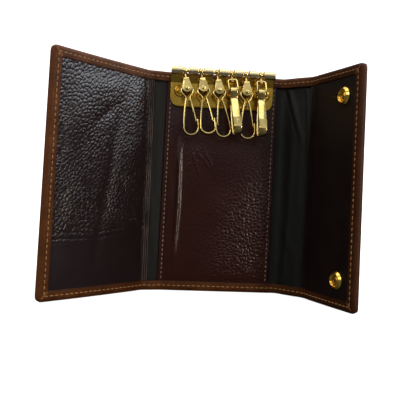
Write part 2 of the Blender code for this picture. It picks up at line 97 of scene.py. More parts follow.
class Nodes:
    """A node tree, with short ways to add to it."""

    def __init__(self, tree):
        self.tree = tree

    def node(self, kind, inputs=None, **settings):
        made = self.tree.nodes.new(kind)
        for key, value in settings.items():
            setattr(made, key, value)
        for key, value in (inputs or {}).items():
            self.plug(made.inputs[key], value)
        return made

    def plug(self, socket, value):
        if isinstance(value, bpy.types.NodeSocket):
            self.tree.links.new(value, socket)
        else:
            socket.default_value = value

    def math(self, operation, a, b=0.0):
        return self.node("ShaderNodeMath", {0: a, 1: b}, operation=operation).outputs[0]

    def mix(self, factor, a, b):
        return self.node("ShaderNodeMix", {0: factor, 6: a, 7: b}, data_type="RGBA").outputs[2]

    def ramp(self, value, low, high, to_low=0.0, to_high=1.0):
        made = self.node("ShaderNodeMapRange", {0: value, 1: low, 2: high, 3: to_low, 4: to_high})
        return made.outputs[0]

    def axis(self, place, index):
        return self.node("ShaderNodeSeparateXYZ", {0: place}).outputs[index]

    def camera_ray(self):
        return self.node("ShaderNodeLightPath").outputs["Is Camera Ray"]


class Surface(Nodes):
    """A material's node tree, with its Principled shader."""

    def __init__(self, name):
        self.material = bpy.data.materials.new(name)
        self.material.use_nodes = True
        super().__init__(self.material.node_tree)

    def set(self, **inputs):
        for key, value in inputs.items():
            self.plug(self.tree.nodes["Principled BSDF"].inputs[key.replace("_", " ")], value)

    def noise(self, place, scale, detail=4.0, roughness=0.55):
        inputs = {"Vector": place, "Scale": scale, "Detail": detail, "Roughness": roughness}
        return self.node("ShaderNodeTexNoise", inputs).outputs["Fac"]

    def cells(self, place, scale):
        inputs = {"Vector": place, "Scale": scale}
        return self.node("ShaderNodeTexVoronoi", inputs, feature="F1").outputs["Distance"]

    def stretch(self, place, x, y, turn=0.0):
        inputs = {"Vector": place, "Rotation": (0, 0, math.radians(turn)), "Scale": (x, y, 1)}
        return self.node("ShaderNodeMapping", inputs).outputs[0]

    def bump(self, height, depth):
        inputs = {"Height": height, "Distance": depth * MM, "Strength": 1.0}
        return self.node("ShaderNodeBump", inputs).outputs[0]

    def flat_place(self):
        """The place on the flat leather, in millimetres."""
        return self.node("ShaderNodeUVMap", uv_map="flat").outputs[0]

    def object_place(self):
        """The place on a metal piece, in millimetres."""
        inputs = {0: self.node("ShaderNodeTexCoord").outputs["Object"], 1: (1 / MM,) * 3}
        return self.node("ShaderNodeVectorMath", inputs, operation="MULTIPLY").outputs[0]

    def kept(self, name):
        """A distance in millimetres that is kept on the mesh."""
        return self.node("ShaderNodeAttribute", attribute_name=name).outputs["Fac"]

    def leather(self, base, roughness, relief, depth, specular):
        """Finish a leather. roughness is a ramp of some pattern, and relief is two height
        maps with their shares, which stand out by depth millimetres."""
        heights = [self.math("MULTIPLY", height, share) for height, share in relief]
        self.set(
            Base_Color=base,
            Roughness=self.ramp(*roughness),
            Normal=self.bump(self.math("ADD", *heights), depth),
            Specular_IOR_Level=specular,
        )
        return self.material


def colour(red, green, blue):
    """A display colour of 0 to 255 as a linear one."""
    linear = []
    for value in (red, green, blue):
        value /= 255
        linear.append(value / 12.92 if value <= 0.04045 else ((value + 0.055) / 1.055) ** 2.4)
    return (*linear, 1.0)


# ------------------------------------------------------------- materials: leather


def cover_leather():
    """Brown cover, worn to tan along the outline and the mitres. Painted shade makes it darker towards
    the right flap, where the wear also fades, and along the inner edge of the border."""
    g = Surface("cover_leather")
    place = g.flat_place()
    across = g.axis(place, 0)
    edge = g.kept("edge")
    streaks = g.noise(g.stretch(place, 0.35, 1.0), 0.8)
    base = g.mix(g.ramp(g.noise(place, 0.11, 5), 0.3, 0.7), colour(68, 34, 11), colour(98, 54, 20))
    base = g.mix(g.ramp(streaks, 0.45, 0.75, 0, 0.55), base, colour(50, 22, 12))
    # Painted shade: darker towards the right flap.
    base = g.mix(g.ramp(across, 20.0, 75.0, 0.0, 0.62), base, colour(44, 19, 9))
    wear = g.math("MULTIPLY", g.ramp(edge, 0.0, 1.2, 0.6, 0.0), g.ramp(streaks, 0.3, 0.6))
    # Less wear towards the right flap, as part of the painted shade there.
    wear = g.math("MULTIPLY", wear, g.ramp(across, -40.0, 60.0, 1.0, 0.1))
    base = g.mix(wear, base, colour(122, 70, 32))
    on_border = g.math("MULTIPLY", g.ramp(edge, 1.0, 1.8), g.ramp(edge, 4.0, 5.0, 1, 0))
    mitre = g.math("MULTIPLY", g.ramp(g.kept("mitre"), 0.0, 0.7, 1, 0), on_border)
    base = g.mix(mitre, base, colour(150, 96, 48))
    # Painted shade along the inner edge of the border, at the step down to the lining.
    shade = g.math("MULTIPLY", g.ramp(edge, 4.2, 4.95, 0.0, 0.7), g.ramp(edge, 5.2, 5.3, 1, 0))
    base = g.mix(shade, base, colour(26, 11, 8))
    relief = ((g.cells(place, 1.9), 0.5), (g.noise(place, 3.2, 3), 0.5))
    return g.leather(base, (streaks, 0.2, 0.8, 0.36, 0.52), relief, 0.10, 0.14)


RUBBED_LINES = (0.35, 1.3, 2.4)


def pebbled_leather(free_edge):
    """Glossy near-black brown leather. The pebbles themselves are in the mesh. By its free edge, at a
    place across the case in millimetres, it is duller, with thin worn lines."""
    g = Surface("pebbled_leather")
    place = g.flat_place()
    across = g.axis(place, 0)
    clouds = g.noise(place, 0.07)
    pores = g.noise(place, 5.0, 3)
    base = g.mix(clouds, colour(26, 15, 16), colour(37, 24, 26))
    for inset in RUBBED_LINES:
        away = g.math("ABSOLUTE", g.math("SUBTRACT", across, free_edge - inset))
        rub = g.math("MULTIPLY", g.ramp(away, 0.05, 0.22, 0.7, 0), g.ramp(clouds, 0.35, 0.6))
        base = g.mix(rub, base, colour(112, 98, 92))
    gloss = g.ramp(across, free_edge - 4.2, free_edge - 2.6, 0.42, 0.1)
    relief = ((g.cells(place, 2.6), 0.6), (pores, 0.4))
    return g.leather(base, (pores, 0.3, 0.7, 0.2, 0.32), relief, 0.05, gloss)


def panel_leather():
    """Dark red-brown panel, polished by the keys."""
    g = Surface("panel_leather")
    place = g.flat_place()
    scuffs = g.noise(g.stretch(place, 2.2, 0.35, 35), 1.1, 5, 0.65)
    base = g.mix(g.noise(place, 0.06), colour(37, 10, 5), colour(54, 20, 10))
    base = g.mix(g.ramp(scuffs, 0.58, 0.75, 0, 0.3), base, colour(82, 48, 35))
    relief = ((g.cells(place, 2.8), 0.5), (scuffs, 0.6))
    return g.leather(base, (scuffs, 0.3, 0.7, 0.14, 0.25), relief, 0.06, 0.38)


def smooth_leather():
    """Smooth black-brown pocket leather, satin."""
    g = Surface("smooth_leather")
    place = g.flat_place()
    clouds = g.noise(place, 0.08)
    base = g.mix(clouds, colour(17, 9, 8), colour(27, 15, 13))
    relief = ((g.cells(g.stretch(place, 1.4, 0.9), 2.4), 0.4), (g.noise(place, 4.5, 3), 0.6))
    return g.leather(base, (clouds, 0.3, 0.7, 0.36, 0.48), relief, 0.05, 0.3)


def lining_leather():
    """Black soft lining, matt, with a fine nap."""
    g = Surface("lining_leather")
    place = g.flat_place()
    nap = g.noise(place, 6.0, 4, 0.7)
    base = g.mix(g.noise(place, 0.1), colour(9, 9, 8), colour(18, 17, 15))
    base = g.mix(g.ramp(nap, 0.5, 0.8, 0, 0.6), base, colour(48, 45, 38))
    relief = ((g.cells(place, 3.4), 0.5), (nap, 0.5))
    g.set(Sheen_Weight=0.02)
    return g.leather(base, (nap, 0.3, 0.7, 0.42, 0.6), relief, 0.12, 0.24)


def thread(name, dark, light):
    """Twisted thread, with its ply at a slant."""
    g = Surface(name)
    ply = g.noise(g.stretch(g.flat_place(), 1.0, 1.0, 40), 3.5, 3)
    base = g.mix(g.ramp(ply, 0.3, 0.7), dark, light)
    g.set(Base_Color=base, Roughness=0.62, Normal=g.bump(ply, 0.06), Sheen_Weight=0.15)
    return g.material


# --------------------------------------------------------------- materials: metal


def brass(name, deep, pale, roughness, painted_highlight_above=None):
    """Plated brass: slightly uneven colour, fine polish lines and small dull spots. Above a height in
    millimetres, where it has one, it is paler: a painted highlight."""
    g = Surface(name)
    place = g.object_place()
    lines = g.noise(g.stretch(place, 0.3, 6.0, 20), 2.0)
    spots = g.noise(place, 1.6, 3)
    base = g.mix(g.ramp(g.noise(place, 0.35), 0.3, 0.7), deep, pale)
    base = g.mix(g.ramp(spots, 0.62, 0.75, 0, 0.5), base, deep)
    # Painted highlight: paler above the given height.
    if painted_highlight_above is not None:
        painted_highlight = g.ramp(g.axis(place, 2), painted_highlight_above, painted_highlight_above + 0.8, 0, 0.85)
        base = g.mix(painted_highlight, base, colour(238, 222, 176))
    polish = g.ramp(lines, 0.25, 0.75, roughness * 0.6, roughness * 1.4)
    dull = g.ramp(spots, 0.55, 0.75, 0.0, 0.12)
    g.set(
        Base_Color=base,
        Metallic=1.0,
        Roughness=g.math("ADD", polish, dull),
        Normal=g.bump(lines, 0.006),
    )
    return g.material


COVER = cover_leather()
PANEL = panel_leather()
SMOOTH = smooth_leather()
LINING = lining_leather()
TAN_THREAD = thread("tan_thread", colour(128, 80, 34), colour(194, 138, 72))
PALE_THREAD = thread("pale_thread", colour(128, 100, 80), colour(180, 152, 124))
# Painted shade: the needle holes are dark ovals on the leather.
NEEDLE_HOLE_SHADE = thread("needle_hole", colour(16, 7, 5), colour(24, 11, 8))
# The plate's curled top, above 52.2 mm, is paler as a painted highlight.
PLATE_BRASS = brass("plate_brass", colour(196, 152, 54), colour(220, 182, 80), 0.18, 52.2)
HOOK_BRASS = brass("hook_brass", colour(200, 172, 98), colour(228, 206, 138), 0.17)
SNAP_BRASS = brass("snap_brass", colour(236, 180, 62), colour(254, 216, 108), 0.17)


# ------------------------------------------------------------------ the flat case


BEND_ROUNDS = 14


class Fold:
    """One fold of the case: its line in the flat layout, its angle at rest and how far
    each side of the line the leather curves."""

    def __init__(self, name, place, side, reach):
        joint = JOINTS[name]
        self.bodies = (joint["parent"], joint["child"])
        self.pivot = np.array((place, HINGE_OUT))
        self.angle = -side * math.radians(-joint["range_deg"][0])
        self.reach = reach
        along = np.array((side * reach, 0.0))
        self.start = self.pivot - along
        self.end = self.pivot + rotate(along, self.angle)

    def weights(self, points):
        chord = self.end - self.start
        t = np.clip((points[:, :2] - self.start) @ chord / (chord @ chord), 0, 1)
        return t * t * (3 - 2 * t)

    def bend(self, points):
        """Bend flat points through the fold."""
        bent = points
        for _ in range(BEND_ROUNDS):
            turned = self.angle * self.weights(bent)
            bent = points.copy()
            bent[:, :2] = self.pivot + rotate(points[:, :2] - self.pivot, turned)
        return bent


def rotate(vectors, angle):
    cos, sin = np.cos(angle), np.sin(angle)
    x, y = vectors[..., 0], vectors[..., 1]
    return np.stack((x * cos - y * sin, x * sin + y * cos), axis=-1)


def joint_place(name):
    return np.array(JOINTS[name]["pos_m"])


def spine_width(side):
    return np.linalg.norm(joint_place(side + "_outer_fold") - joint_place(side + "_inner_fold"))


HINGE_OUT = joint_place("left_inner_fold")[1]
LEFT_A = joint_place("left_inner_fold")[0]
RIGHT_A = joint_place("right_inner_fold")[0]
LEFT_B = LEFT_A - spine_width("left")
RIGHT_B = RIGHT_A + spine_width("right")
FOLDS = {
    "left_outer": Fold("left_outer_fold", LEFT_B, -1, 4.2 * MM),
    "left_inner": Fold("left_inner_fold", LEFT_A, -1, 4.0 * MM),
    "right_inner": Fold("right_inner_fold", RIGHT_A, 1, 5.0 * MM),
    "right_outer": Fold("right_outer_fold", RIGHT_B, 1, 6.0 * MM),
}


def flap_width(side, direction):
    """How far the flap's cover reaches past its outer fold."""
    hinge = joint_place(side + "_outer_fold")
    angle = FOLDS[side + "_outer"].angle + FOLDS[side + "_inner"].angle
    along = rotate(np.array((direction, 0.0)), angle)
    cover = frame["nodes"][side + "_flap_cover"].data
    corners = np.array([corner.co for corner in cover.vertices])[:, :2]
    return ((corners - hinge[:2]) @ along).max()


LEFT_END = LEFT_B - flap_width("left", -1)
RIGHT_END = RIGHT_B + flap_width("right", 1)
HALF_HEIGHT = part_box("centre_cover")[1].z
INNER_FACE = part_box("centre_cover")[0].y
PANEL_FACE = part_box("centre_panel")[0].y
PANEL_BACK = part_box("centre_panel")[1].y
LINING_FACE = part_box("centre_lining")[0].y
LINING_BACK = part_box("centre_lining")[1].y
BORDER = 5.0 * MM
CORNER_RADIUS = 3.0 * MM
STITCH_INSET = 2.75 * MM
STITCH_PITCH = 2.5 * MM

# The leather's own set: each flap's top corner leans in and its bottom corner out
LEFT_WARP = 2.6 * MM
RIGHT_WARP = 1.0 * MM

# The cover and the lining are made in four sections, one across each fold
CUTS = ((LEFT_B + LEFT_A) / 2, 0.0, (RIGHT_B + RIGHT_A) / 2)
SECTIONS = (
    ("left_outer", LEFT_END, CUTS[0], ("left_flap", "left_spine")),
    ("left_inner", CUTS[0], CUTS[1], ("centre",)),
    ("right_inner", CUTS[1], CUTS[2], ("centre", "right_spine")),
    ("right_outer", CUTS[2], RIGHT_END, ("right_flap",)),
)


def warp(points):
    """Leather that has been carried isn't flat: the flaps are slightly twisted."""
    x, z = points[:, 0], points[:, 2]
    left = np.clip((LEFT_B - x) / (LEFT_B - LEFT_END), 0, 1) ** 2 * LEFT_WARP
    right = np.clip((x - RIGHT_B) / (RIGHT_END - RIGHT_B), 0, 1) ** 2 * RIGHT_WARP
    twisted = points.copy()
    twisted[:, 1] -= (left + right) * z / HALF_HEIGHT
    return twisted


def to_rest(points):
    """Flat points, as an array of (across, out, up), in the case's rest pose."""
    placed = warp(np.asarray(points, float))
    for name in ("left_outer", "left_inner", "right_outer", "right_inner"):
        placed = FOLDS[name].bend(placed)
    return placed


# ------------------------------------------------------------ meshes and their bodies


def make_piece(name, verts, faces, material, uvs=None, attributes=None, angle=40.0):
    mesh = bpy.data.meshes.new(name)
    mesh.from_pydata([tuple(v) for v in verts], [], [tuple(f) for f in faces])
    if uvs is not None:
        layer = mesh.uv_layers.new(name="flat")
        loops = np.zeros(len(mesh.loops), np.int32)
        mesh.loops.foreach_get("vertex_index", loops)
        layer.data.foreach_set("uv", np.asarray(uvs, np.float32)[loops].ravel())
    for key, values in (attributes or {}).items():
        attribute = mesh.attributes.new(key, "FLOAT", "POINT")
        attribute.data.foreach_set("value", np.asarray(values, np.float32))
    mesh.materials.append(material)
    bm = bmesh.new()
    bm.from_mesh(mesh)
    bmesh.ops.remove_doubles(bm, verts=bm.verts, dist=1e-6)
    bmesh.ops.recalc_face_normals(bm, faces=bm.faces)
    bm.to_mesh(mesh)
    bm.free()
    mesh.shade_smooth()
    mesh.set_sharp_from_angle(angle=math.radians(angle))
    piece = bpy.data.objects.new(name, mesh)
    bpy.context.scene.collection.objects.link(piece)
    return piece


def attach(piece, body, slot, *nodes):
    """Ride on a body in place of CAD nodes, hiding them. A piece given a fold only has its transform
    baked and stays unattached.
    """
    if isinstance(body, Fold):
        for point in (body.start, body.end):
            place = np.array([(*point, 0.0)])
            for side in ("left", "right"):
                if body is FOLDS[side + "_outer"]:
                    place = FOLDS[side + "_inner"].bend(place)
        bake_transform(piece)
    elif body is not None:
        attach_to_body(piece, body)
    if nodes:
        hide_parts(*nodes)
    return piece


def grid_faces(rows, columns, first=0, flip=False):
    index = first + np.arange(rows * columns).reshape(rows, columns)
    a, b, c, d = index[:-1, :-1], index[1:, :-1], index[1:, 1:], index[:-1, 1:]
    order = (a, d, c, b) if flip else (a, b, c, d)
    return np.stack(order, axis=-1).reshape(-1, 4).tolist()


def tube_faces(rings, sides):
    """The faces between rings of vertices, each ring closed."""
    faces = []
    for i in range(rings - 1):
        for k in range(sides):
            a, b = i * sides + k, i * sides + (k + 1) % sides
            faces.append((a, b, b + sides, a + sides))
    return faces


def wall_faces(rows, columns):
    """The faces that join the rims of a front grid and the back grid that follows it."""
    front = np.arange(rows * columns).reshape(rows, columns)
    rim = [*front[:, 0], *front[-1, 1:], *front[-2::-1, -1], *front[0, -2:0:-1]]
    step = rows * columns
    return [(a, b, b + step, a + step) for a, b in zip(rim, rim[1:] + rim[:1])]


def sheet(name, x, z, front, back, material, **attributes):
    """A closed sheet of leather from grids of flat places and of its two faces. The
    attributes are grids of distances, which the material reads in millimetres."""
    rows, columns = x.shape
    points = [np.stack((x, out, z), axis=-1).reshape(-1, 3) for out in (front, back)]
    points = np.concatenate(points)
    faces = grid_faces(rows, columns) + grid_faces(rows, columns, rows * columns, True)
    faces += wall_faces(rows, columns)
    uvs = points[:, [0, 2]] / MM
    attributes = {key: np.tile(values.ravel() / MM, 2) for key, values in attributes.items()}
    return make_piece(name, to_rest(points), faces, material, uvs, attributes)


def spaced(start, stop, step):
    """Even places between two ends, without the ends."""
    count = max(2, round((stop - start) / step))
    return np.linspace(start, stop, count + 1)[1:-1]


# ------------------------------------------------------------------ relief in leather

LATTICE_SIZE = 64


def lattice(seed):
    return np.random.default_rng(seed).random((LATTICE_SIZE, LATTICE_SIZE))


def cell_distances(x, z, size, seed):
    """Distances to the nearest and second nearest of scattered points, in cell sizes."""
    jitter_x, jitter_z = lattice(seed), lattice(seed + 1)
    px, pz = x / size, z / size
    cell_x, cell_z = np.floor(px), np.floor(pz)
    nearest = np.full(x.shape, 9.0)
    second = np.full(x.shape, 9.0)
    for step_x in (-1, 0, 1):
        for step_z in (-1, 0, 1):
            cx, cz = cell_x + step_x, cell_z + step_z
            index = (cx.astype(int) % LATTICE_SIZE, cz.astype(int) % LATTICE_SIZE)
            distance = np.hypot(cx + jitter_x[index] - px, cz + jitter_z[index] - pz)
            second = np.minimum(second, np.maximum(nearest, distance))
            nearest = np.minimum(nearest, distance)
    return nearest, second


def waves(x, z, size, seed):
    """Smooth random waves between 0 and 1."""
    table = lattice(seed)
    px, pz = x / size, z / size
    cell_x, cell_z = np.floor(px), np.floor(pz)
    tx, tz = (t * t * t * (t * (6 * t - 15) + 10) for t in (px - cell_x, pz - cell_z))
    ix, iz = cell_x.astype(int) % LATTICE_SIZE, cell_z.astype(int) % LATTICE_SIZE
    jx, jz = (ix + 1) % LATTICE_SIZE, (iz + 1) % LATTICE_SIZE
    low = table[ix, iz] * (1 - tx) + table[jx, iz] * tx
    high = table[ix, jz] * (1 - tx) + table[jx, jz] * tx
    return low * (1 - tz) + high * tz


def pebbles(x, z, size, seed, turn=35.0, stretch=1.3):
    """Rounded pebbles between creases, from 0 in the creases to 1."""
    angle = math.radians(turn)
    along = x * math.cos(angle) + z * math.sin(angle)
    across = -x * math.sin(angle) + z * math.cos(angle)
    along = along / stretch + 0.5 * size * waves(x, z, 3 * size, seed + 5)
    across = across + 0.5 * size * waves(x, z, 3 * size, seed + 6)
    nearest, second = cell_distances(along, across, size, seed)
    rise = np.clip((second - nearest) * 1.7, 0, 1)
    return 1 - (1 - rise) ** 2


def ridge(away, width):
    """A soft ridge of height 1 along the line where away is 0."""
    return np.exp(-((away / width) ** 2))


def bulge(x, z, centre, length, width, turn=0.0):
    """A soft rise of height 1, longer along its own direction, sized in millimetres."""
    angle = math.radians(turn)
    dx, dz = x - centre[0] * MM, z - centre[1] * MM
    along = (dx * math.cos(angle) + dz * math.sin(angle)) / (length * MM)
    across = (-dx * math.sin(angle) + dz * math.cos(angle)) / (width * MM)
    return np.exp(-along**2 - across**2)


# ------------------------------------------------------------------------ the cover

THICKNESS = -INNER_FACE
# Rows of the grid from the edge inwards: close at the rim, the stitching and the lip
RIM_STEPS = (0, 0.12, 0.4, 0.8, 1.3, 1.8, 2.2)
STITCH_STEPS = (2.45, 2.6, 2.75, 2.9, 3.05, 3.3, 3.7)
LIP_STEPS = (4.2, 4.6, 4.8, 4.93, 4.99, 5.0)
EDGE_STEPS = np.array(RIM_STEPS + STITCH_STEPS + LIP_STEPS) * MM
MITRE_RIDGE = 0.22 * MM
GROOVE_DEPTH = 0.1 * MM
JOIN_PLACES = (LEFT_B - 1.5 * MM, RIGHT_A - 1.8 * MM, RIGHT_B + 12 * MM)
JOIN_SLOPE = 0.25
FOLD_STEP, FLAT_STEP = 0.55 * MM, 1.0 * MM


def cover_columns():
    """Places across the case: close at the borders and through the folds."""
    stops = [LEFT_END + BORDER]
    for fold in FOLDS.values():
        stops += [fold.pivot[0] - fold.reach, fold.pivot[0] + fold.reach]
    stops.append(RIGHT_END - BORDER)
    columns = [*(LEFT_END + EDGE_STEPS), *(RIGHT_END - EDGE_STEPS), *stops[1:-1], *CUTS]
    for i in range(len(stops) - 1):
        columns += [*spaced(stops[i], stops[i + 1], FOLD_STEP if i % 2 else FLAT_STEP)]
    columns = np.array(sorted(columns))
    keep = np.concatenate(([True], np.diff(columns) > 1e-6))
    return columns[keep]


def cover_rows():
    inner = HALF_HEIGHT - BORDER
    ends = [*(-HALF_HEIGHT + EDGE_STEPS), *(HALF_HEIGHT - EDGE_STEPS)]
    return np.array(sorted([*ends, *spaced(-inner, inner, 1.1 * MM)]))


def section_grid(columns, rows, low, high):
    return np.meshgrid(columns[(columns > low - 1e-7) & (columns < high + 1e-7)], rows)


def round_corners(x, z):
    """Squeeze the grid's square corners into the case's rounded ones."""
    x, z = x.copy(), z.copy()
    radius = CORNER_RADIUS
    for end, side in ((LEFT_END, -1), (RIGHT_END, 1)):
        for level in (-1, 1):
            u = side * (x - end) / radius + 1
            v = level * (z - level * HALF_HEIGHT) / radius + 1
            inside = (u > 0) & (v > 0)
            new_u = u * np.sqrt(1 - v * v / 2, where=inside, out=np.ones_like(u))
            new_v = v * np.sqrt(1 - u * u / 2, where=inside, out=np.ones_like(v))
            x[inside] = (end + side * radius * (new_u - 1))[inside]
            z[inside] = (level * (HALF_HEIGHT + radius * (new_v - 1)))[inside]
    return x, z


def edge_distance(x, z):
    """Distances to the nearest edge, and off the corner's mitre line."""
    side = np.minimum(x - LEFT_END, RIGHT_END - x)
    level = HALF_HEIGHT - np.abs(z)
    return np.minimum(side, level), side - level


def groove(edge):
    """The groove that the stitching has pressed into the border."""
    return GROOVE_DEPTH * ridge(edge - STITCH_INSET, 0.34 * MM)


def rim_depth(edge):
    """How far a face is from the middle of the leather: nothing at the very edge."""
    half = THICKNESS / 2
    rounding = np.clip(half - edge, 0, half)
    return np.sqrt(half**2 - rounding**2)


def cover_front(x, z, edge, off_mitre):
    """The turned-in border, with a crown, mitres and overlaps, down to the lining."""
    crown = 0.12 * MM * np.sin(np.clip(edge / BORDER, 0, 1) * math.pi)
    out = -THICKNESS / 2 - rim_depth(edge) - crown + groove(edge)
    on_border = np.clip((edge - 0.9 * MM) / (0.8 * MM), 0, 1)
    near_end = np.minimum(x - LEFT_END, RIGHT_END - x) < BORDER
    out -= MITRE_RIDGE * (ridge(off_mitre, 0.4 * MM) * on_border) * near_end
    for place in JOIN_PLACES:
        slant = x - place - JOIN_SLOPE * (HALF_HEIGHT - z)
        out -= 0.16 * MM * ridge(slant, 0.5 * MM) * on_border * (z > 0)
    out -= 0.10 * MM * (waves(x, z, 3.1 * MM, 41) - 0.5) * on_border
    lip = np.clip((edge - 4.75 * MM) / (0.25 * MM), 0, 1)
    out += 0.3 * MM * lip**3
    return np.where(edge > 4.995 * MM, LINING_BACK + 0.1 * MM, out)


def cover_back(x, z, edge):
    """The case's outer face, which rolls a little inside its rim."""
    inner = np.clip((edge - THICKNESS) / (4 * MM), 0, 1)
    roll = 0.35 * MM * (waves(x, z, 17 * MM, 11) - 0.5)
    roll = roll + 0.12 * MM * (waves(x, z, 5 * MM, 12) - 0.5)
    return -THICKNESS / 2 + rim_depth(edge) - groove(edge) + roll * inner


def build_cover():
    columns, rows = cover_columns(), cover_rows()
    for name, low, high, parts in SECTIONS:
        x, z = section_grid(columns, rows, low, high)
        edge, off_mitre = edge_distance(x, z)
        faces = (cover_front(x, z, edge, off_mitre), cover_back(x, z, edge))
        distances = {"edge": edge, "mitre": np.abs(off_mitre)}
        piece = sheet("cover_" + name, *round_corners(x, z), *faces, COVER, **distances)
        attach(piece, FOLDS[name], "cover_leather", *(part + "_cover" for part in parts))


build_cover()


# ---------------------------------------------------------------- stitching in the case

THREAD_RADIUS = 0.24 * MM
THREAD_SIDES = 8
STITCH_RINGS = 7
STITCH_LENGTH = 1.75 * MM
HOLE_LENGTH, HOLE_WIDTH, HOLE_DEPTH = 0.34 * MM, 0.27 * MM, 0.5 * MM


def stitch_line(start, end, pitch=STITCH_PITCH):
    """Even stitch centres on a line of the flat layout, with the line's direction."""
    start, end = np.array(start), np.array(end)
    length = np.linalg.norm(end - start)
    count = max(1, round(length / pitch))
    along = (end - start) / length
    return [(start + along * length * (i + 0.5) / count, along) for i in range(count)]


def stitch(middle, along, out, sign, length, radius):
    """A short thread that arches out of the leather and dives in at both ends. sign is -1
    on the inner face and 1 on the outer one."""
    across = np.array((-along[1], along[0]))
    verts = []
    for i in range(STITCH_RINGS):
        t = 2 * i / (STITCH_RINGS - 1) - 1
        rise = radius * (0.75 - 1.5 * t**4)
        size = radius * (1.0 - 0.35 * t**4)
        centre = middle + along * length / 2 * t
        for k in range(THREAD_SIDES):
            turn = 2 * math.pi * k / THREAD_SIDES
            place = centre + across * size * math.cos(turn)
            verts.append((place[0], out + sign * (rise + size * math.sin(turn)), place[1]))
    last = len(verts) - THREAD_SIDES
    caps = [tuple(range(first, first + THREAD_SIDES)) for first in (0, last)]
    return verts, tube_faces(STITCH_RINGS, THREAD_SIDES) + caps


def needle_hole(middle, along, out, sign):
    """A shallow cone in the leather, between two stitches, capped by a dark oval that is painted shade
    of the needle hole.
    """
    across = np.array((-along[1], along[0]))
    verts = []
    for k in range(THREAD_SIDES):
        turn = 2 * math.pi * k / THREAD_SIDES
        place = middle + along * HOLE_LENGTH * math.cos(turn) + across * HOLE_WIDTH * math.sin(turn)
        verts.append((place[0], out + sign * 0.03 * MM, place[1]))
    verts.append((middle[0], out - sign * HOLE_DEPTH, middle[1]))
    cone = [(k, (k + 1) % THREAD_SIDES, THREAD_SIDES) for k in range(THREAD_SIDES)]
    return verts, cone + [tuple(range(THREAD_SIDES))]


def joined(parts):
    """Many parts, each with its vertices and faces, as one."""
    verts, faces = [], []
    for part_verts, part_faces in parts:
        first = len(verts)
        verts += part_verts
        faces += [tuple(first + index for index in face) for face in part_faces]
    return np.array(verts), faces


def sew(name, run, out, sign, material, body, length=STITCH_LENGTH, radius=THREAD_RADIUS):
    """Sew one run of stitches, and the painted shade of its needle holes, onto a body; when a fold is
    given, they are left unattached.
    """
    threads = [stitch(middle, along, out, sign, length, radius) for middle, along in run]
    # The needle holes: dark ovals of painted shade.
    holes = [needle_hole(middle + along * STITCH_PITCH / 2, along, out, sign) for middle, along in run]
    for suffix, parts, finish in (("", threads, material), ("_holes", holes, NEEDLE_HOLE_SHADE)):
        verts, faces = joined(parts)
        piece = make_piece(name + suffix, to_rest(verts), faces, finish, verts[:, [0, 2]] / MM)
        attach(piece, body, "cover_leather")


def border_stitches():
    """The seam round the whole case."""
    left, right = LEFT_END + STITCH_INSET, RIGHT_END - STITCH_INSET
    top = HALF_HEIGHT - STITCH_INSET
    stitches = []
    for level in (top, -top):
        stitches += stitch_line((left, level), (right, level))
    for side in (left, right):
        stitches += stitch_line((side, -top), (side, top))
    return stitches


def build_border_stitching():
    stitches = border_stitches()
    inner = INNER_FACE - 0.12 * MM + GROOVE_DEPTH
    for name, low, high, _ in SECTIONS:
        near = [place for place in stitches if low <= place[0][0] < high]
        sew("stitches_inside_" + name, near, inner, -1, TAN_THREAD, FOLDS[name])
        sew("stitches_outside_" + name, near, -GROOVE_DEPTH, 1, TAN_THREAD, FOLDS[name])


build_border_stitching()


# ---------------------------------------------------------------------- the lining

FINE_LINING, COARSE_LINING = 0.4 * MM, 2.5 * MM
LINING_TUCK = 0.2 * MM


def lining_relief(x, z):
    """How far the slack lining stands out. It buckles where the spines bend."""
    mm_x, mm_z = x / MM, z / MM
    rise = 0.10 * (waves(x, 0.2 * z, 2.2 * MM, 21) - 0.5)
    diagonal = mm_x - 33.6 - 0.33 * (50.0 - mm_z)
    fade = np.clip((mm_z - 18.0) / 20.0, 0, 1)
    rise += 0.75 * fade * ridge(diagonal, 1.5)
    rise -= 0.25 * fade * ridge(diagonal + 2.2, 0.7)
    second = mm_x - 43.2 - 0.10 * (50.0 - mm_z) + 0.6 * np.sin(mm_z / 9.0)
    rise += 0.55 * (0.35 + 0.65 * fade) * ridge(second, 1.0)
    third = mm_x - 36.5 - 0.05 * (mm_z + 10.0) + 0.8 * np.sin(mm_z / 14.0)
    rise += 0.30 * (1 - fade) * ridge(third, 1.8)
    slack = waves(0.8 * x + 0.35 * z, 0.3 * z, 4.0 * MM, 22) - 0.5
    rise += 0.30 * ridge(mm_x - 39.0, 8.0) * slack
    rise += ridge(mm_x + 31.5, 3.5) * 0.35 * waves(x, 0.15 * z, 1.9 * MM, 23)
    return np.clip(rise, -0.2, 1.0) * MM


def lining_columns():
    """Places across the lining: close over the spines, where it wrinkles."""
    left, right = LEFT_END + BORDER - LINING_TUCK, RIGHT_END - BORDER + LINING_TUCK
    stops = [left, LEFT_B - 4 * MM, CUTS[0], LEFT_A + 3 * MM, CUTS[1]]
    stops += [RIGHT_A - 6 * MM, CUTS[2], RIGHT_B + 5 * MM, right]
    half = (COARSE_LINING, FINE_LINING, FINE_LINING, COARSE_LINING)
    columns = []
    for start, stop, step in zip(stops, stops[1:], half + half):
        columns += [start, *spaced(start, stop, step)]
    return np.array([*columns, right])


def build_lining():
    columns = lining_columns()
    level = HALF_HEIGHT - BORDER + LINING_TUCK
    rows = np.array([-level, *spaced(-level, level, 0.8 * MM), level])
    for name, low, high, parts in SECTIONS:
        x, z = section_grid(columns, rows, low, high)
        rim = np.clip((level - np.abs(z)) / (1.5 * MM), 0, 1)
        front = LINING_FACE - lining_relief(x, z) * rim
        piece = sheet("lining_" + name, x, z, front, np.full_like(x, LINING_BACK), LINING)
        attach(piece, FOLDS[name], "lining", *(part + "_lining" for part in parts))


build_lining()


# ----------------------------------------------------------------- panel and pockets

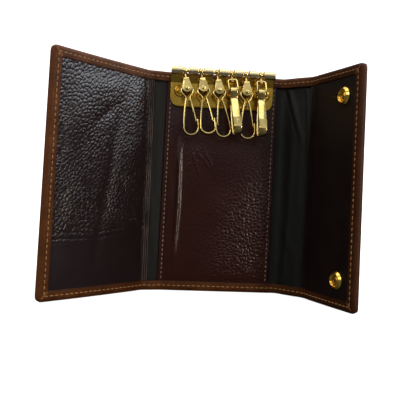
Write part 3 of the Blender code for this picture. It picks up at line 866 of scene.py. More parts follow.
TUCK = 0.25 * MM
PANEL_LEVEL = HALF_HEIGHT - BORDER + TUCK
LEFT_INSIDE, RIGHT_INSIDE = LEFT_END + BORDER - TUCK, RIGHT_END - BORDER + TUCK
LEFT_POCKET_EDGE = LEFT_B + 2.6 * MM
RIGHT_POCKET_EDGE = RIGHT_B - 0.8 * MM
PEBBLED = pebbled_leather(LEFT_POCKET_EDGE / MM)
PANEL_EDGES = (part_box("centre_panel")[0].x - 1.5 * MM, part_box("centre_panel")[1].x)
SEAM_INSET = (1.9 * MM, 1.6 * MM)
BOTH = 2


def panel_sheet(name, sides, step, relief, material, node, body, slot, open_side):
    """A panel whose edges go under the border. open_side is the side left unsewn, where
    the edge is rounded. The sides are functions of the height."""
    rows = np.array([-PANEL_LEVEL, *spaced(-PANEL_LEVEL, PANEL_LEVEL, step), PANEL_LEVEL])
    left, right = sides
    count = round((right(0) - left(0)) / step)
    share, z = np.meshgrid(np.linspace(0, 1, count + 1), rows)
    x = left(z) + (right(z) - left(z)) * share
    front = PANEL_FACE - relief(x, z)
    thickness = PANEL_BACK - PANEL_FACE
    for side, edge in ((-1, x - left(z)), (1, right(z) - x)):
        if open_side in (side, BOTH):
            roll = np.clip(1 - edge / (0.35 * MM), 0, 1)
            front += thickness * 0.7 * (1 - np.sqrt(1 - roll**2))
    piece = sheet(name, x, z, front, np.full_like(x, PANEL_BACK), material)
    attach(piece, body, slot, node)


def upright(place):
    """A side that stays at one place at every height."""
    return lambda z: place + 0 * z


def panel_left(z):
    """The middle panel widens a little towards the bottom."""
    return PANEL_EDGES[0] + 0.6 * MM * z / HALF_HEIGHT


panel_right = upright(PANEL_EDGES[1])


def sewn_fade(x, z, left, right, width=3.0 * MM):
    """0 at the sewn edges and 1 inside, for relief that the stitching holds down."""
    side = np.minimum(x - left, right - x)
    near = np.clip(np.minimum(side, PANEL_LEVEL - np.abs(z)) / width, 0, 1)
    return near * near * (3 - 2 * near)


def left_pocket_relief(x, z):
    """Pebbled pocket leather that has taken soft swells and two long dips. It is
    pressed smooth in its lowest quarter, and has ridges by its free edge."""
    mm_x, mm_z = x / MM, z / MM
    pressed = np.clip((mm_z + 30.0 - 0.08 * (mm_x + 60)) / 7.0, 0, 1)
    pebble = pebbles(x, z, 1.6 * MM, 3, 42, 1.4) + 0.3 * pebbles(x, z, 0.8 * MM, 8, 25, 1.2)
    height = 0.14 + 0.09 * waves(x, z, 8 * MM, 31)
    relief = pebble * height * (0.2 + 0.8 * pressed)
    swell = 0.7 * bulge(x, z, (-75, 30), 20, 10, 55)
    swell += 0.6 * bulge(x, z, (-44, 22), 30, 6.5, 86)
    swell += 0.4 * bulge(x, z, (-76, -10), 18, 12, 60)
    swell -= 0.45 * bulge(x, z, (-58, 6), 38, 2.8, 80)
    swell -= 0.35 * bulge(x, z, (-62, 30), 10, 2.2, 40)
    swell += 0.25 * waves(x, z, 13 * MM, 33)
    crease = 0.0
    for level in (-24.0, -26.6):
        line = mm_z - level - 0.05 * (mm_x + 60) + 0.5 * np.sin(mm_x / 6)
        crease = crease + 0.12 * ridge(line, 0.5) * np.clip((-46 - mm_x) / 8, 0, 1)
    sewn = sewn_fade(x, z, LEFT_INSIDE, LEFT_POCKET_EDGE + 30 * MM, 9.0 * MM)
    inward = LEFT_POCKET_EDGE / MM - mm_x
    lines = 0.0
    for place, ridge_height in ((0.9, 0.16), (1.9, 0.14), (3.1, 0.1)):
        lines = lines + ridge_height * ridge(inward - place, 0.22)
    flat_edge = np.clip((inward - 0.4) / 1.6, 0.15, 1)
    return (relief * flat_edge + swell * sewn - crease + lines - 0.1) * MM


def right_pocket_relief(x, z):
    """Smooth leather with one long swell, and a line pressed by its free edge."""
    swell = 0.25 * bulge(x, z, (58, 5), 40, 10, 90) + 0.12 * waves(x, z, 14 * MM, 36)
    sewn = sewn_fade(x, z, RIGHT_POCKET_EDGE - 30 * MM, RIGHT_INSIDE)
    fine = 0.02 * pebbles(x, z, 0.9 * MM, 37, 80)
    line = 0.08 * ridge((x - RIGHT_POCKET_EDGE) / MM - 1.2, 0.18)
    return (swell * sewn + fine - line - 0.1) * MM


def hook_creases(x, z):
    """Creases and scratches where the hooks swing."""
    mm_x, mm_z = x / MM, z / MM
    crease = 0.0
    for place, slope, length in ((-13.0, -0.35, 8), (-9.5, -0.8, 6), (-6.0, -0.5, 5), (-12.0, 0.5, 5)):
        line = mm_x - place - slope * (mm_z - 14) + 0.3 * np.sin(mm_z)
        crease = crease + 0.10 * ridge(mm_z - 12, length) * ridge(line, 0.55)
    rumple = bulge(x, z, (-10, 13), 9, 6, 130)
    crease = crease + 0.09 * rumple * pebbles(x, z, 1.0 * MM, 57, 120, 1.9)
    scratch = 0.0
    for place in (-18, -15.5, -12.5, -9.5):
        line = mm_x - place - 1.2 * (mm_z + 40)
        scratch = scratch + 0.06 * ridge(line, 0.3) * ridge(mm_z + 40, 4)
    return crease + scratch


def centre_panel_relief(x, z):
    """A polished panel: a roll down its left side, the hooks' creases, pressed seams, and
    pebbles that grow coarser towards its lower right part."""
    mm_x, mm_z = x / MM, z / MM
    coarse = np.clip(1.4 * bulge(x, z, (18, -24), 30, 19, 60), 0, 1)
    pebble = 0.04 * pebbles(x, z, 1.15 * MM, 51, 10, 1.1) * (1 - coarse)
    pebble = pebble + 0.24 * pebbles(x, z, 1.75 * MM, 58, 10, 1.15) * coarse
    fine = pebbles(x, z, 0.75 * MM, 52, 70) * 0.035
    roll_line = mm_x + 19.8 - 0.02 * (mm_z + 5) + 0.25 * np.sin(mm_z / 8)
    roll_fade = np.clip((mm_z + 42) / 16, 0, 1) * np.clip((24 - mm_z) / 16, 0, 1)
    roll = (0.75 * ridge(roll_line, 1.15) - 0.2 * ridge(roll_line + 2.6, 1.3)) * roll_fade
    swell = 0.5 * bulge(x, z, (14, -18), 26, 12, 80) + 0.18 * waves(x, z, 12 * MM, 54)
    under_plate = np.clip((36 - mm_z) / 8, 0, 1)
    sewn = sewn_fade(x, z, panel_left(z) + 1.0 * MM, panel_right(z) - 1.0 * MM, 4.0 * MM)
    left_seam = ridge(x - panel_left(z) - SEAM_INSET[0], 0.35 * MM)
    right_seam = ridge(panel_right(z) - x - SEAM_INSET[1], 0.35 * MM)
    shape = (roll + swell) * sewn * under_plate + hook_creases(x, z) * under_plate
    return (pebble + fine + shape - 0.08 * (left_seam + right_seam) - 0.08) * MM


def build_panels():
    panel_sheet(
        "pocket_left",
        (upright(LEFT_INSIDE), upright(LEFT_POCKET_EDGE)),
        0.28 * MM,
        left_pocket_relief,
        PEBBLED,
        "left_pocket",
        FOLDS["left_outer"],
        "pebbled_leather",
        open_side=1,
    )
    panel_sheet(
        "pocket_right",
        (upright(RIGHT_POCKET_EDGE), upright(RIGHT_INSIDE)),
        0.45 * MM,
        right_pocket_relief,
        SMOOTH,
        "right_pocket",
        FOLDS["right_outer"],
        "smooth_leather",
        open_side=-1,
    )
    panel_sheet(
        "panel_centre",
        (panel_left, panel_right),
        0.3 * MM,
        centre_panel_relief,
        PANEL,
        "centre_panel",
        FOLDS["left_inner"],
        "panel_leather",
        open_side=BOTH,
    )


def build_panel_stitching():
    """The seams down both long sides of the middle panel."""
    level = PANEL_LEVEL - 0.8 * MM
    sides = (
        ("left", panel_left, SEAM_INSET[0], FOLDS["left_inner"]),
        ("right", panel_right, -SEAM_INSET[1], "centre"),
    )
    for side, edge, inset, body in sides:
        line = stitch_line((edge(-level) + inset, -level), (edge(level) + inset, level), 2.3 * MM)
        out = PANEL_FACE + 0.2 * MM
        sew("stitches_panel_" + side, line, out, -1, PALE_THREAD, body, 1.6 * MM, 0.2 * MM)


build_panels()
build_panel_stitching()


# ---------------------------------------------------------------- metal: shared shapes


def rounded(points, radius, closed=False, steps=3):
    """Round the corners of a chain of 2D points."""
    made = []
    count = len(points)
    for i, point in enumerate(points):
        point = np.array(point, float)
        if not closed and i in (0, count - 1):
            made.append(tuple(point))
            continue
        before = np.array(points[i - 1], float) - point
        after = np.array(points[(i + 1) % count], float) - point
        cut = min(radius, 0.45 * np.linalg.norm(before), 0.45 * np.linalg.norm(after))
        a = point + before / np.linalg.norm(before) * cut
        b = point + after / np.linalg.norm(after) * cut
        for k in range(steps + 1):
            t = k / steps
            made.append(tuple((1 - t) ** 2 * a + 2 * t * (1 - t) * point + t * t * b))
    return made


def arc(centre, radius, start, end, count):
    """Points on an arc, with the angles in degrees."""
    angles = np.radians(np.linspace(start, end, count + 1))
    return [(centre[0] + radius * math.cos(a), centre[1] + radius * math.sin(a)) for a in angles]


def turned(name, profile, place, material, steps=40, ring=False):
    """A profile of (radius, height) in millimetres, turned about its place's Z axis. A ring's
    profile joins up with its own start."""
    verts = []
    for radius, height in profile:
        for angle in np.arange(steps) * 2 * math.pi / steps:
            verts.append((radius * math.cos(angle), radius * math.sin(angle), height))
    faces = tube_faces(len(profile) + (1 if ring else 0), steps)
    faces = [tuple(index % len(verts) for index in face) for face in faces]
    piece = make_piece(name, np.array(verts) * MM, faces, material, angle=50)
    piece.matrix_world = place
    return piece


def place_from(origin, x_axis, y_axis, z_axis):
    """A piece's place, from its origin and its axes."""
    return Matrix([(*row, 0) for row in (x_axis, y_axis, z_axis)] + [(*origin, 1)]).transposed()


def add_modifier(piece, kind, **settings):
    modifier = piece.modifiers.new(kind.lower(), kind)
    for key, value in settings.items():
        setattr(modifier, key, value)


def smooth_path(points, step):
    """A Catmull-Rom curve through 2D points, at even steps along it."""
    points = np.array(points, float)
    padded = np.vstack((2 * points[0] - points[1], points, 2 * points[-1] - points[-2]))
    dense = []
    for i in range(1, len(padded) - 2):
        a, b, c, d = padded[i - 1 : i + 3]
        slope, curve, twist = c - a, 2 * a - 5 * b + 4 * c - d, 3 * b - a - 3 * c + d
        for t in np.arange(0, 1, 0.05):
            dense.append(0.5 * (2 * b + slope * t + curve * t**2 + twist * t**3))
    dense = np.array([*dense, points[-1]])
    lengths = np.concatenate(([0], np.cumsum(np.linalg.norm(np.diff(dense, axis=0), axis=1))))
    even = np.linspace(0, lengths[-1], max(2, round(lengths[-1] / step)) + 1)
    return np.stack([np.interp(even, lengths, dense[:, axis]) for axis in (0, 1)], axis=-1)


# ---------------------------------------------------------------------- the key row

_, ROD_Y, ROD_Z = joint_place("hook_1_swing")
PLATE_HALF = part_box("key_plate")[1].x
PLATE_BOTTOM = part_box("key_plate")[0].z
PLATE_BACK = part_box("key_plate")[1].y
PLATE_SHEET = 0.8 * MM
KNUCKLE_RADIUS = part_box("key_plate")[1].z - ROD_Z
PLATE_CORNER = 4.5 * MM
NECK_DROP = 5.0 * MM
SLOT_DROP = 4.0 * MM
SLOT_WIDTH = 2.75 * MM
HOOK_PITCH = 7.4 * MM
HOOK_COUNT = 6
CURL_TURN = 300


def plate_line():
    """The plate's middle surface as (y, z), from its bottom edge up the neck and round
    the rod."""
    flat = PLATE_BACK - PLATE_SHEET / 2
    radius = KNUCKLE_RADIUS - PLATE_SHEET / 2
    reach = flat - ROD_Y
    slope = math.atan2(NECK_DROP, reach) + math.asin(radius / math.hypot(reach, NECK_DROP))
    touch = math.degrees(slope) + 90
    line = [(flat, z) for z in np.linspace(PLATE_BOTTOM, ROD_Z - NECK_DROP - 0.4 * MM, 24)]
    curl = [(ROD_Y - y, ROD_Z + z) for y, z in arc((0, 0), radius, touch, touch - CURL_TURN, 36)]
    foot, tip = np.array((flat, ROD_Z - NECK_DROP + 0.3 * MM)), np.array(curl[0])
    line += [tuple(foot + (tip - foot) * t) for t in np.linspace(0, 1, 9)[:-1]]
    return line + curl


def plate_columns():
    """Places along the plate, and whether a slot is cut between each and the next."""
    edges = [-PLATE_HALF]
    for i in range(HOOK_COUNT):
        middle = (i - (HOOK_COUNT - 1) / 2) * HOOK_PITCH
        edges += [middle - SLOT_WIDTH / 2, middle + SLOT_WIDTH / 2]
    edges.append(PLATE_HALF)
    columns = []
    slotted = []
    for i in range(len(edges) - 1):
        inner = spaced(edges[i], edges[i + 1], 0.6 * MM)
        columns += [edges[i], *inner]
        slotted += [i % 2 == 1] * (len(inner) + 1)
    return [*columns, edges[-1]], slotted


def plate_vertex(x, y, z):
    """A point of the plate, squeezed in where the bottom corners are rounded."""
    u = (abs(x) - PLATE_HALF) / PLATE_CORNER + 1
    v = (PLATE_BOTTOM - z) / PLATE_CORNER + 1
    if z < PLATE_BOTTOM + PLATE_CORNER and u > 0:
        width = PLATE_HALF + PLATE_CORNER * (u * math.sqrt(1 - v * v / 2) - 1)
        height = PLATE_BOTTOM - PLATE_CORNER * (v * math.sqrt(1 - u * u / 2) - 1)
        return math.copysign(width, x), y, height
    return x, y, z


def build_key_plate():
    """One sheet, with slots for the hooks cut in its curled top."""
    line = plate_line()
    columns, slotted = plate_columns()
    verts = [plate_vertex(x, y, z) for y, z in line for x in columns]
    count = len(columns)
    faces = []
    for i, (y, z) in enumerate(line[:-1]):
        curled = z > ROD_Z - SLOT_DROP or y < PLATE_BACK - 1.2 * MM
        for k in range(count - 1):
            if not (curled and slotted[k]):
                a = i * count + k
                faces.append((a, a + 1, a + 1 + count, a + count))
    plate = make_piece("key_plate_sheet", verts, faces, PLATE_BRASS, angle=30)
    add_modifier(plate, "SOLIDIFY", thickness=PLATE_SHEET, offset=0.0, use_even_offset=True)
    add_modifier(plate, "BEVEL", width=0.14 * MM, segments=2, angle_limit=math.radians(50))
    attach(plate, "centre", "plate_brass", "key_plate")


def build_rivets():
    """Tubular rivets: a rolled rim round an open bore, and a flange behind the panel."""
    front = PLATE_BACK - PLATE_SHEET
    behind = (front - LINING_FACE) / MM
    head = [(0.75, -0.3), (0.75, 0.35), (1.0, 0.7), (1.35, 0.6), (1.55, 0.12), (1.85, 0.12)]
    head += [(2.1, 0.5), (2.4, 0.5), (2.7, 0.25), (2.9, 0.02), (1.1, 0.02)]
    tail = [(1.1, behind), (1.8, behind), (1.8, behind - 0.35), (0.65, behind - 0.35)]
    profile = rounded(head + tail, 0.12, closed=True)
    for side in ("left", "right"):
        low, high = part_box("plate_rivet_" + side)
        centre = ((low.x + high.x) / 2, front, (low.z + high.z) / 2)
        place = place_from(centre, (1, 0, 0), (0, 0, 1), (0, -1, 0))
        rivet = turned("rivet_" + side, profile, place, PLATE_BRASS, ring=True)
        attach(rivet, "centre", "plate_brass", "plate_rivet_" + side)


def build_rod():
    half = PLATE_HALF / MM - 0.2
    low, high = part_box("rod")
    radius = (high.z - low.z) / 2 / MM
    profile = [(0, half), (radius - 0.2, half), (radius, half - 0.25), (radius, -half + 0.25)]
    profile += [(radius - 0.2, -half), (0, -half)]
    place = place_from((0, ROD_Y, ROD_Z), (0, 1, 0), (0, 0, 1), (1, 0, 0))
    rod = turned("rod_pin", rounded(profile, 0.1), place, PLATE_BRASS, 28)
    attach(rod, "centre", "plate_brass", "rod")


build_key_plate()
build_rivets()
build_rod()


# ------------------------------------------------------------------------ the hooks
# Sizes are in millimetres, and heights are from the rod down the hook.

EYE_RING, EYE_WIRE, EYE_BAND = 1.35, 0.4, 0.78
STEM_RADIUS, STEM_HEAD = 0.6, 1.15
YOKE_TOP, YOKE_BOTTOM = -3.4, -11.0
YOKE_HALF_SPAN, YOKE_SHEET, YOKE_BEND = 2.4, 0.5, 1.1
YOKE_LEG_RADIUS, YOKE_ARCH_HALF = 2.25, 1.0
YOKE_LEG_CENTRE = YOKE_BOTTOM + YOKE_LEG_RADIUS
PIN_HEIGHT, PIN_RADIUS = -9.0, 0.6
STRIP_THICKNESS = 0.6
STRIP_SIDES = 12
WAIST_HEIGHT, WAIST_HALF = -14.0, 0.95
LOOP_CENTRE, LOOP_RADIUS = -28.3, 3.5
CROWN_CENTRE, CROWN_HALF, CROWN_RISE = -10.3, 2.9, 2.5
GATE_FLEX = (1.0, -14.5)


def hook_axis(number, joint):
    return Vector(JOINTS[f"hook_{number}_{joint}"]["axis"]).normalized()


def hook_place(number):
    """The hook's own frame at rest: Z up along the hook, and the strip's width along Y."""
    up = hook_axis(number, "swivel")
    wide = hook_axis(number, "gate")
    return place_from(joint_place(f"hook_{number}_swing"), wide.cross(up), wide, up)


def hanger_place(number):
    """The hanger's frame at rest: Z up along the hook, and X along the rod."""
    up = hook_axis(number, "swivel")
    along = Vector((0, 1, 0)).cross(up).normalized()
    return place_from(joint_place(f"hook_{number}_swing"), along, up.cross(along), up)


def ease(t):
    return 0.5 - 0.5 * math.cos(math.pi * t)


def crown_side(count=6):
    """The strip's right side as (x, z), from the waist up to the crown's widest point."""
    points = []
    for i in range(count):
        t = i / count
        x = WAIST_HALF + (CROWN_HALF - WAIST_HALF) * ease(t)
        points.append((x, WAIST_HEIGHT + (CROWN_CENTRE - WAIST_HEIGHT) * t))
    return points


def crown_top(start, end):
    """A part of the crown's flattened arch, between two angles in degrees."""
    return [(CROWN_HALF * x, CROWN_CENTRE + CROWN_RISE * z) for x, z in arc((0, 0), 1, start, end, 8)]


def gate_limb():
    """The strip from the gate's free end up to the top of the crown."""
    inside = LOOP_RADIUS - STRIP_THICKNESS - 0.3
    end = LOOP_CENTRE + 2.2
    flex_x, flex_z = GATE_FLEX
    points = [(inside, end)]
    for i in range(6, 0, -1):
        t = i / 6
        points.append((flex_x + (inside - flex_x) * t**0.8, flex_z + (end + 1.5 - flex_z) * t))
    return points + crown_side() + crown_top(0, 90)


def spine_limb():
    """The strip from the top of the crown down the spine and round the loop to its tip."""
    points = crown_top(90, 180)
    points += [(-x, z) for x, z in reversed(crown_side())]
    for i in range(1, 6):
        t = i / 6
        x = -WAIST_HALF - (LOOP_RADIUS - WAIST_HALF) * t**0.8
        points.append((x, WAIST_HEIGHT + (LOOP_CENTRE + 1.5 - WAIST_HEIGHT) * t))
    points += arc((0, LOOP_CENTRE), LOOP_RADIUS, 180, 360, 18)
    for lean, rise in ((0, 1.7), (-0.05, 3.0), (0.05, 3.8)):
        points.append((LOOP_RADIUS + lean, LOOP_CENTRE + rise))
    return points


def strip_width(z):
    """Narrow at the crown and wider down the loop."""
    return 3.1 + 0.5 * min(1.0, max(0.0, (WAIST_HEIGHT + 1.0 - z) / 8.0))


def strip_mesh(name, points, place):
    """A strip of spring sheet with rounded edges, swept along (x, z) points."""
    path = smooth_path(points, 0.32)
    tangents = np.gradient(path, axis=0)
    tangents /= np.linalg.norm(tangents, axis=1)[:, None]
    half = STRIP_THICKNESS / 2
    verts = []
    for index, ((x, z), (tx, tz)) in enumerate(zip(path, tangents)):
        from_end = min(index, len(path) - 1 - index)
        wide = strip_width(z) / 2 * (0.82, 0.95, 1.0)[min(from_end, 2)]
        corners = ((-wide, -half), (wide, -half), (wide, half), (-wide, half))
        for y, off in rounded(corners, 0.16, closed=True, steps=2):
            verts.append((x - tz * off, y, z + tx * off))
    faces = tube_faces(len(path), STRIP_SIDES)
    for first in (0, len(verts) - STRIP_SIDES):
        faces.append(tuple(range(first, first + STRIP_SIDES)))
    strip = make_piece(name, np.array(verts) * MM, faces, HOOK_BRASS, angle=50)
    strip.matrix_world = place
    return strip


def yoke_half_width(z):
    """Half the yoke's width at a height: a narrow arch that swells into round legs."""
    rise = YOKE_TOP - YOKE_LEG_CENTRE
    reach = math.hypot(YOKE_ARCH_HALF, rise)
    touch = math.atan2(rise, YOKE_ARCH_HALF) - math.acos(YOKE_LEG_RADIUS / reach)
    touch_x = YOKE_LEG_RADIUS * math.cos(touch)
    touch_z = YOKE_LEG_CENTRE + YOKE_LEG_RADIUS * math.sin(touch)
    if z < touch_z:
        return math.sqrt(max(0.0, YOKE_LEG_RADIUS**2 - (z - YOKE_LEG_CENTRE) ** 2))
    return touch_x + (YOKE_ARCH_HALF - touch_x) * (z - touch_z) / (YOKE_TOP - touch_z)


def build_yoke(number):
    """An inverted U of sheet: two teardrop legs and a narrow arch over the hanger."""
    span = YOKE_HALF_SPAN - YOKE_SHEET / 2
    shoulder = YOKE_TOP - YOKE_SHEET / 2 - YOKE_BEND
    angles = np.radians(np.linspace(-90, 0, 9))
    side = [(span, YOKE_LEG_CENTRE + YOKE_LEG_RADIUS * math.sin(angle)) for angle in angles]
    side += [(span, z) for z in np.linspace(YOKE_LEG_CENTRE, shoulder, 7)[1:]]
    side += arc((span - YOKE_BEND, shoulder), YOKE_BEND, 0, 90, 6)[1:]
    line = side + [(-y, z) for y, z in reversed(side)]
    across = np.sin(np.linspace(-90, 90, 15) * math.pi / 180)
    verts = []
    for y, z in line:
        crown_height = 0.14 * math.copysign(1, y) if z < shoulder else 0.0
        for share in across:
            crown = crown_height * (1 - share * share) * min(1.0, (z - YOKE_BOTTOM) / 2)
            verts.append((share * yoke_half_width(z), y + crown, z))
    faces = grid_faces(len(line), len(across))
    yoke = make_piece(f"yoke_sheet_{number}", np.array(verts) * MM, faces, HOOK_BRASS, angle=60)
    yoke.matrix_world = hook_place(number)
    add_modifier(yoke, "SOLIDIFY", thickness=YOKE_SHEET * MM, offset=0.0)
    add_modifier(yoke, "BEVEL", width=0.1 * MM, segments=2, angle_limit=math.radians(50))
    attach(yoke, f"hook_{number}", "hook_brass", f"yoke_{number}")


def build_pin(number):
    """The riveted pin through the yoke's legs."""
    seat = YOKE_HALF_SPAN + 0.16
    half = [(0.0, seat + 0.34), (0.55, seat + 0.32), (0.95, seat + 0.12)]
    half += [(0.95, seat), (PIN_RADIUS, seat)]
    profile = half + [(radius, -height) for radius, height in reversed(half)]
    across = Matrix.Rotation(math.radians(90), 4, "X")
    place = hook_place(number) @ Matrix.Translation((0, 0, PIN_HEIGHT * MM)) @ across
    pin = turned(f"pin_{number}", rounded(profile, 0.1), place, HOOK_BRASS, 24)
    attach(pin, f"hook_{number}", "hook_brass", f"cross_pin_{number}")


def build_hanger(number):
    """The eye on the rod, and the headed stem that the yoke turns on."""
    place = hanger_place(number)
    angles = np.radians(np.arange(0, 360, 30))
    ring = [(EYE_RING + EYE_WIRE * math.cos(a), EYE_BAND * math.sin(a)) for a in angles]
    across = place @ Matrix.Rotation(math.radians(90), 4, "Y")
    eye = turned(f"eye_{number}", ring, across, HOOK_BRASS, 36, ring=True)
    attach(eye, f"hanger_{number}", "hook_brass", f"hanger_{number}")
    under = YOKE_TOP - YOKE_SHEET - 0.3
    top = -EYE_RING - 0.1
    profile = [(0, top), (STEM_RADIUS * 0.8, top), (STEM_RADIUS, top - 0.4), (STEM_RADIUS, under)]
    profile += [(STEM_HEAD, under - 0.05), (STEM_HEAD, under - 0.35)]
    profile += [(0.7, under - 0.65), (0, under - 0.68)]
    stem = turned(f"stem_{number}", rounded(profile, 0.12), place, HOOK_BRASS, 24)
    attach(stem, f"hanger_{number}", "hook_brass")


def build_spring(number):
    """The bent strip. Its gate limb, whose bend lies just under the crown, is a separate strip that is
    not attached to any body.
    """
    place = hook_place(number)
    spine = strip_mesh(f"spring_strip_{number}", spine_limb(), place)
    attach(spine, f"hook_{number}", "hook_brass", f"spring_hook_{number}")
    gate = strip_mesh(f"gate_strip_{number}", gate_limb(), place)
    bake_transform(gate)
    attach(gate, None, "hook_brass", f"gate_{number}")


for hook_number in range(1, HOOK_COUNT + 1):
    build_spring(hook_number)
    build_yoke(hook_number)
    build_pin(hook_number)
    build_hanger(hook_number)


# ------------------------------------------------------------------------ the snaps

SNAP_REACH = 26.5 * MM
SNAP_PLACE = RIGHT_B + SNAP_REACH
STUD_PLACE = LEFT_B - (RIGHT_A - LEFT_A - SNAP_REACH)


def case_place(x, out, z, outward):
    """A place on the case's leather, with Z away from it. outward is 1 on the outer face."""
    step = 1 * MM
    origin, right, above = to_rest(np.array([(x, out, z), (x + step, out, z), (x, out, z + step)]))
    right = Vector(right - origin).normalized()
    above = Vector(above - origin).normalized()
    away = right.cross(above) * -outward
    return place_from(origin, above.cross(away), above, away)


def socket_profile():
    """The flange, a raised rim, the recess and a domed centre with a small dimple."""
    outer = [(4.1, 0.1), (4.1, 0.45), (3.75, 0.85), (3.3, 1.45), (2.9, 1.65), (2.65, 1.45)]
    inner = [(2.5, 0.8), (1.75, 0.7), (1.45, 1.0), (0.85, 1.2), (0.45, 1.05), (0.0, 1.0)]
    return rounded([(0.0, -0.6), (1.5, -0.6), (1.5, 0.1)] + outer + inner, 0.22, steps=4)


def cap_profile():
    """The post through the leather, and the domed cap."""
    dome = [(5.5 * math.cos(a), 0.5 + 1.2 * math.sin(a)) for a in np.radians(np.linspace(0, 90, 12))]
    return rounded([(0.0, -1.2), (1.3, -1.2), (1.3, 0.05), (5.3, 0.05), (5.55, 0.25)], 0.12) + dome


def stud_profile():
    """A flat base and a hollow knob."""
    base = [(0.0, -0.5), (1.5, -0.5), (1.5, 0.05), (3.4, 0.05), (3.4, 0.3), (3.1, 0.4), (2.2, 0.45)]
    knob = [(2.0, 0.75), (2.2, 1.0), (2.2, 1.3), (2.05, 1.5), (1.8, 1.5)]
    hollow = [(1.62, 1.3), (1.6, 0.4), (0.0, 0.3)]
    return rounded(base + knob + hollow, 0.18, steps=4)


def eyelet_profile():
    """A tube with a flange, as a closed ring."""
    tube = [(0.8, 0.0), (1.25, 0.0), (1.25, 1.5), (2.8, 1.5), (2.8, 1.9), (0.8, 1.9)]
    return rounded(tube, 0.1, closed=True)


def build_snaps():
    halves = (
        ("socket", SNAP_PLACE, PANEL_FACE - 0.1 * MM, -1, socket_profile(), "right_flap"),
        ("cap", SNAP_PLACE, 0.0, 1, cap_profile(), "right_flap"),
        ("stud", STUD_PLACE, 0.0, 1, stud_profile(), "left_flap"),
        ("eyelet", STUD_PLACE, 0.4 * MM, -1, eyelet_profile(), "left_flap"),
    )
    for level in ("upper", "lower"):
        low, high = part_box("snap_cap_" + level)
        for kind, x, out, outward, profile, body in halves:
            place = case_place(x, out, (low.z + high.z) / 2, outward)
            piece = turned(f"{kind}_{level}", profile, place, SNAP_BRASS, 48, ring=kind == "eyelet")
            attach(piece, body, "snap_brass", f"snap_{kind}_{level}")


build_snaps()


# --------------------------------------------------------------- floor, light, camera

BACKDROP_PLACE, BACKDROP_CURVE, BACKDROP_HALF, BACKDROP_TOP = 0.35, 0.18, 1.5, 1.2


def build_backdrop():
    """A floor that curves up into a wall. The camera sees it white, but it lights the case
    as a dark grey would, so that the metal has something dark to reflect."""
    floor = cad_bounds[0].z
    start = BACKDROP_PLACE - BACKDROP_CURVE
    profile = [(-1.2, floor), (start, floor)]
    for i in range(1, 13):
        angle = math.radians(90 * i / 12)
        rise = BACKDROP_CURVE * (1 - math.cos(angle))
        profile.append((start + BACKDROP_CURVE * math.sin(angle), floor + rise))
    profile.append((BACKDROP_PLACE, BACKDROP_TOP))
    verts = [(x, y, z) for y, z in profile for x in (-BACKDROP_HALF, BACKDROP_HALF)]
    faces = [(2 * i, 2 * i + 1, 2 * i + 3, 2 * i + 2) for i in range(len(profile) - 1)]
    g = Surface("backdrop")
    seen = g.camera_ray()
    g.set(
        Base_Color=g.mix(seen, (0.09, 0.09, 0.09, 1), (0.85, 0.85, 0.85, 1)),
        Roughness=0.9,
        Specular_IOR_Level=0.1,
        Emission_Color=WHITE,
        Emission_Strength=g.math("MULTIPLY", seen, 0.72),
    )
    mesh = bpy.data.meshes.new("backdrop")
    mesh.from_pydata(verts, [], faces)
    mesh.materials.append(g.material)
    mesh.shade_smooth()
    backdrop = bpy.data.objects.new("backdrop", mesh)
    bpy.context.scene.collection.objects.link(backdrop)


# The studio's sky: (height of the direction, brightness). It is dim at the case's own
# level and brightest a little above the camera.
LOW_SKY = ((-1.0, 0.02), (-0.1, 0.04), (0.04, 0.08), (0.17, 0.3))
HIGH_SKY = ((0.33, 0.95), (0.5, 0.75), (0.75, 0.4), (1.0, 0.32))
SKY = LOW_SKY + HIGH_SKY
SKY_TINT = (0.96, 0.98, 1.0)


def build_sky():
    """The sky lights the case, and the camera sees plain white."""
    world = bpy.data.worlds.new("studio")
    world.use_nodes = True
    g = Nodes(world.node_tree)
    height = g.axis(g.node("ShaderNodeTexCoord").outputs["Generated"], 2)
    ramp = g.node("ShaderNodeValToRGB", {0: g.ramp(height, -1.0, 1.0)})
    stops = ramp.color_ramp.elements
    while len(stops) < len(SKY):
        stops.new(0.5)
    for stop, (height, brightness) in zip(stops, SKY):
        stop.position = (height + 1) / 2
        stop.color = (*(brightness * tint for tint in SKY_TINT), 1)
    shown = g.mix(g.camera_ray(), ramp.outputs[0], WHITE)
    g.plug(g.tree.nodes["Background"].inputs["Color"], shown)
    bpy.context.scene.world = world


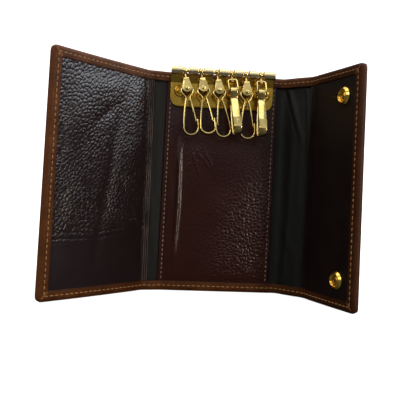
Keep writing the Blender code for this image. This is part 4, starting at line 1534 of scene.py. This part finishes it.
def add_light(name, place, target, size, power, tint):
    data = bpy.data.lights.new(name, "AREA")
    data.shape = "RECTANGLE"
    data.size, data.size_y = size
    data.energy = power
    data.color = tint
    light = bpy.data.objects.new(name, data)
    light.location = place
    light.rotation_euler = (Vector(target) - Vector(place)).to_track_quat("-Z", "Y").to_euler()
    bpy.context.scene.collection.objects.link(light)


def build_lights():
    """A cool window at the right, a soft ceiling, a low warm lamp and smaller fills."""
    add_light("window", (0.55, -0.1, 0.36), (-0.05, 0, 0), (0.32, 0.3), 2.2, (0.86, 0.93, 1.0))
    add_light("ceiling", (-0.1, -0.2, 0.8), (0, 0, 0), (0.9, 0.6), 3.0, (1.0, 0.98, 0.95))
    add_light("front", (-0.3, -0.7, 0.36), (0, 0, 0.03), (0.2, 0.2), 0.7, (1.0, 0.96, 0.9))
    add_light("lamp", (0.4, -0.5, -0.01), (0, 0, 0), (0.07, 0.2), 1.3, (1.0, 0.88, 0.7))
    add_light("glow", (0.21, -0.5, -0.11), (0.01, 0, -0.02), (0.05, 0.06), 0.34, (1.0, 0.88, 0.76))
    add_light("rear", (0.1, 0.27, 0.5), (0, 0, 0), (0.4, 0.2), 0.9, (1.0, 0.98, 0.94))


CAMERA_ANGLES = (-5.2, 1.55, 2.6)
CAMERA_DISTANCE = 0.287
CAMERA_TARGET = Vector((-5.9 * MM, INNER_FACE, -10.9 * MM))


def build_camera():
    """The photo's viewpoint: nearly straight on, and a little rolled."""
    azimuth, elevation, roll = (math.radians(angle) for angle in CAMERA_ANGLES)
    level = math.cos(elevation)
    back = Vector((math.sin(azimuth) * level, -math.cos(azimuth) * level, math.sin(elevation)))
    data = bpy.data.cameras.new("camera")
    data.lens = 50.3
    data.clip_start = 0.01
    camera = bpy.data.objects.new("camera", data)
    camera.rotation_mode = "QUATERNION"
    upright_view = (-back).to_track_quat("-Z", "Y")
    camera.rotation_quaternion = upright_view @ Matrix.Rotation(roll, 3, "Z").to_quaternion()
    camera.location = CAMERA_TARGET + back * CAMERA_DISTANCE
    bpy.context.scene.collection.objects.link(camera)
    bpy.context.scene.camera = camera


build_backdrop()
build_sky()
build_lights()
build_camera()
bpy.context.scene.view_settings.view_transform = "Standard"
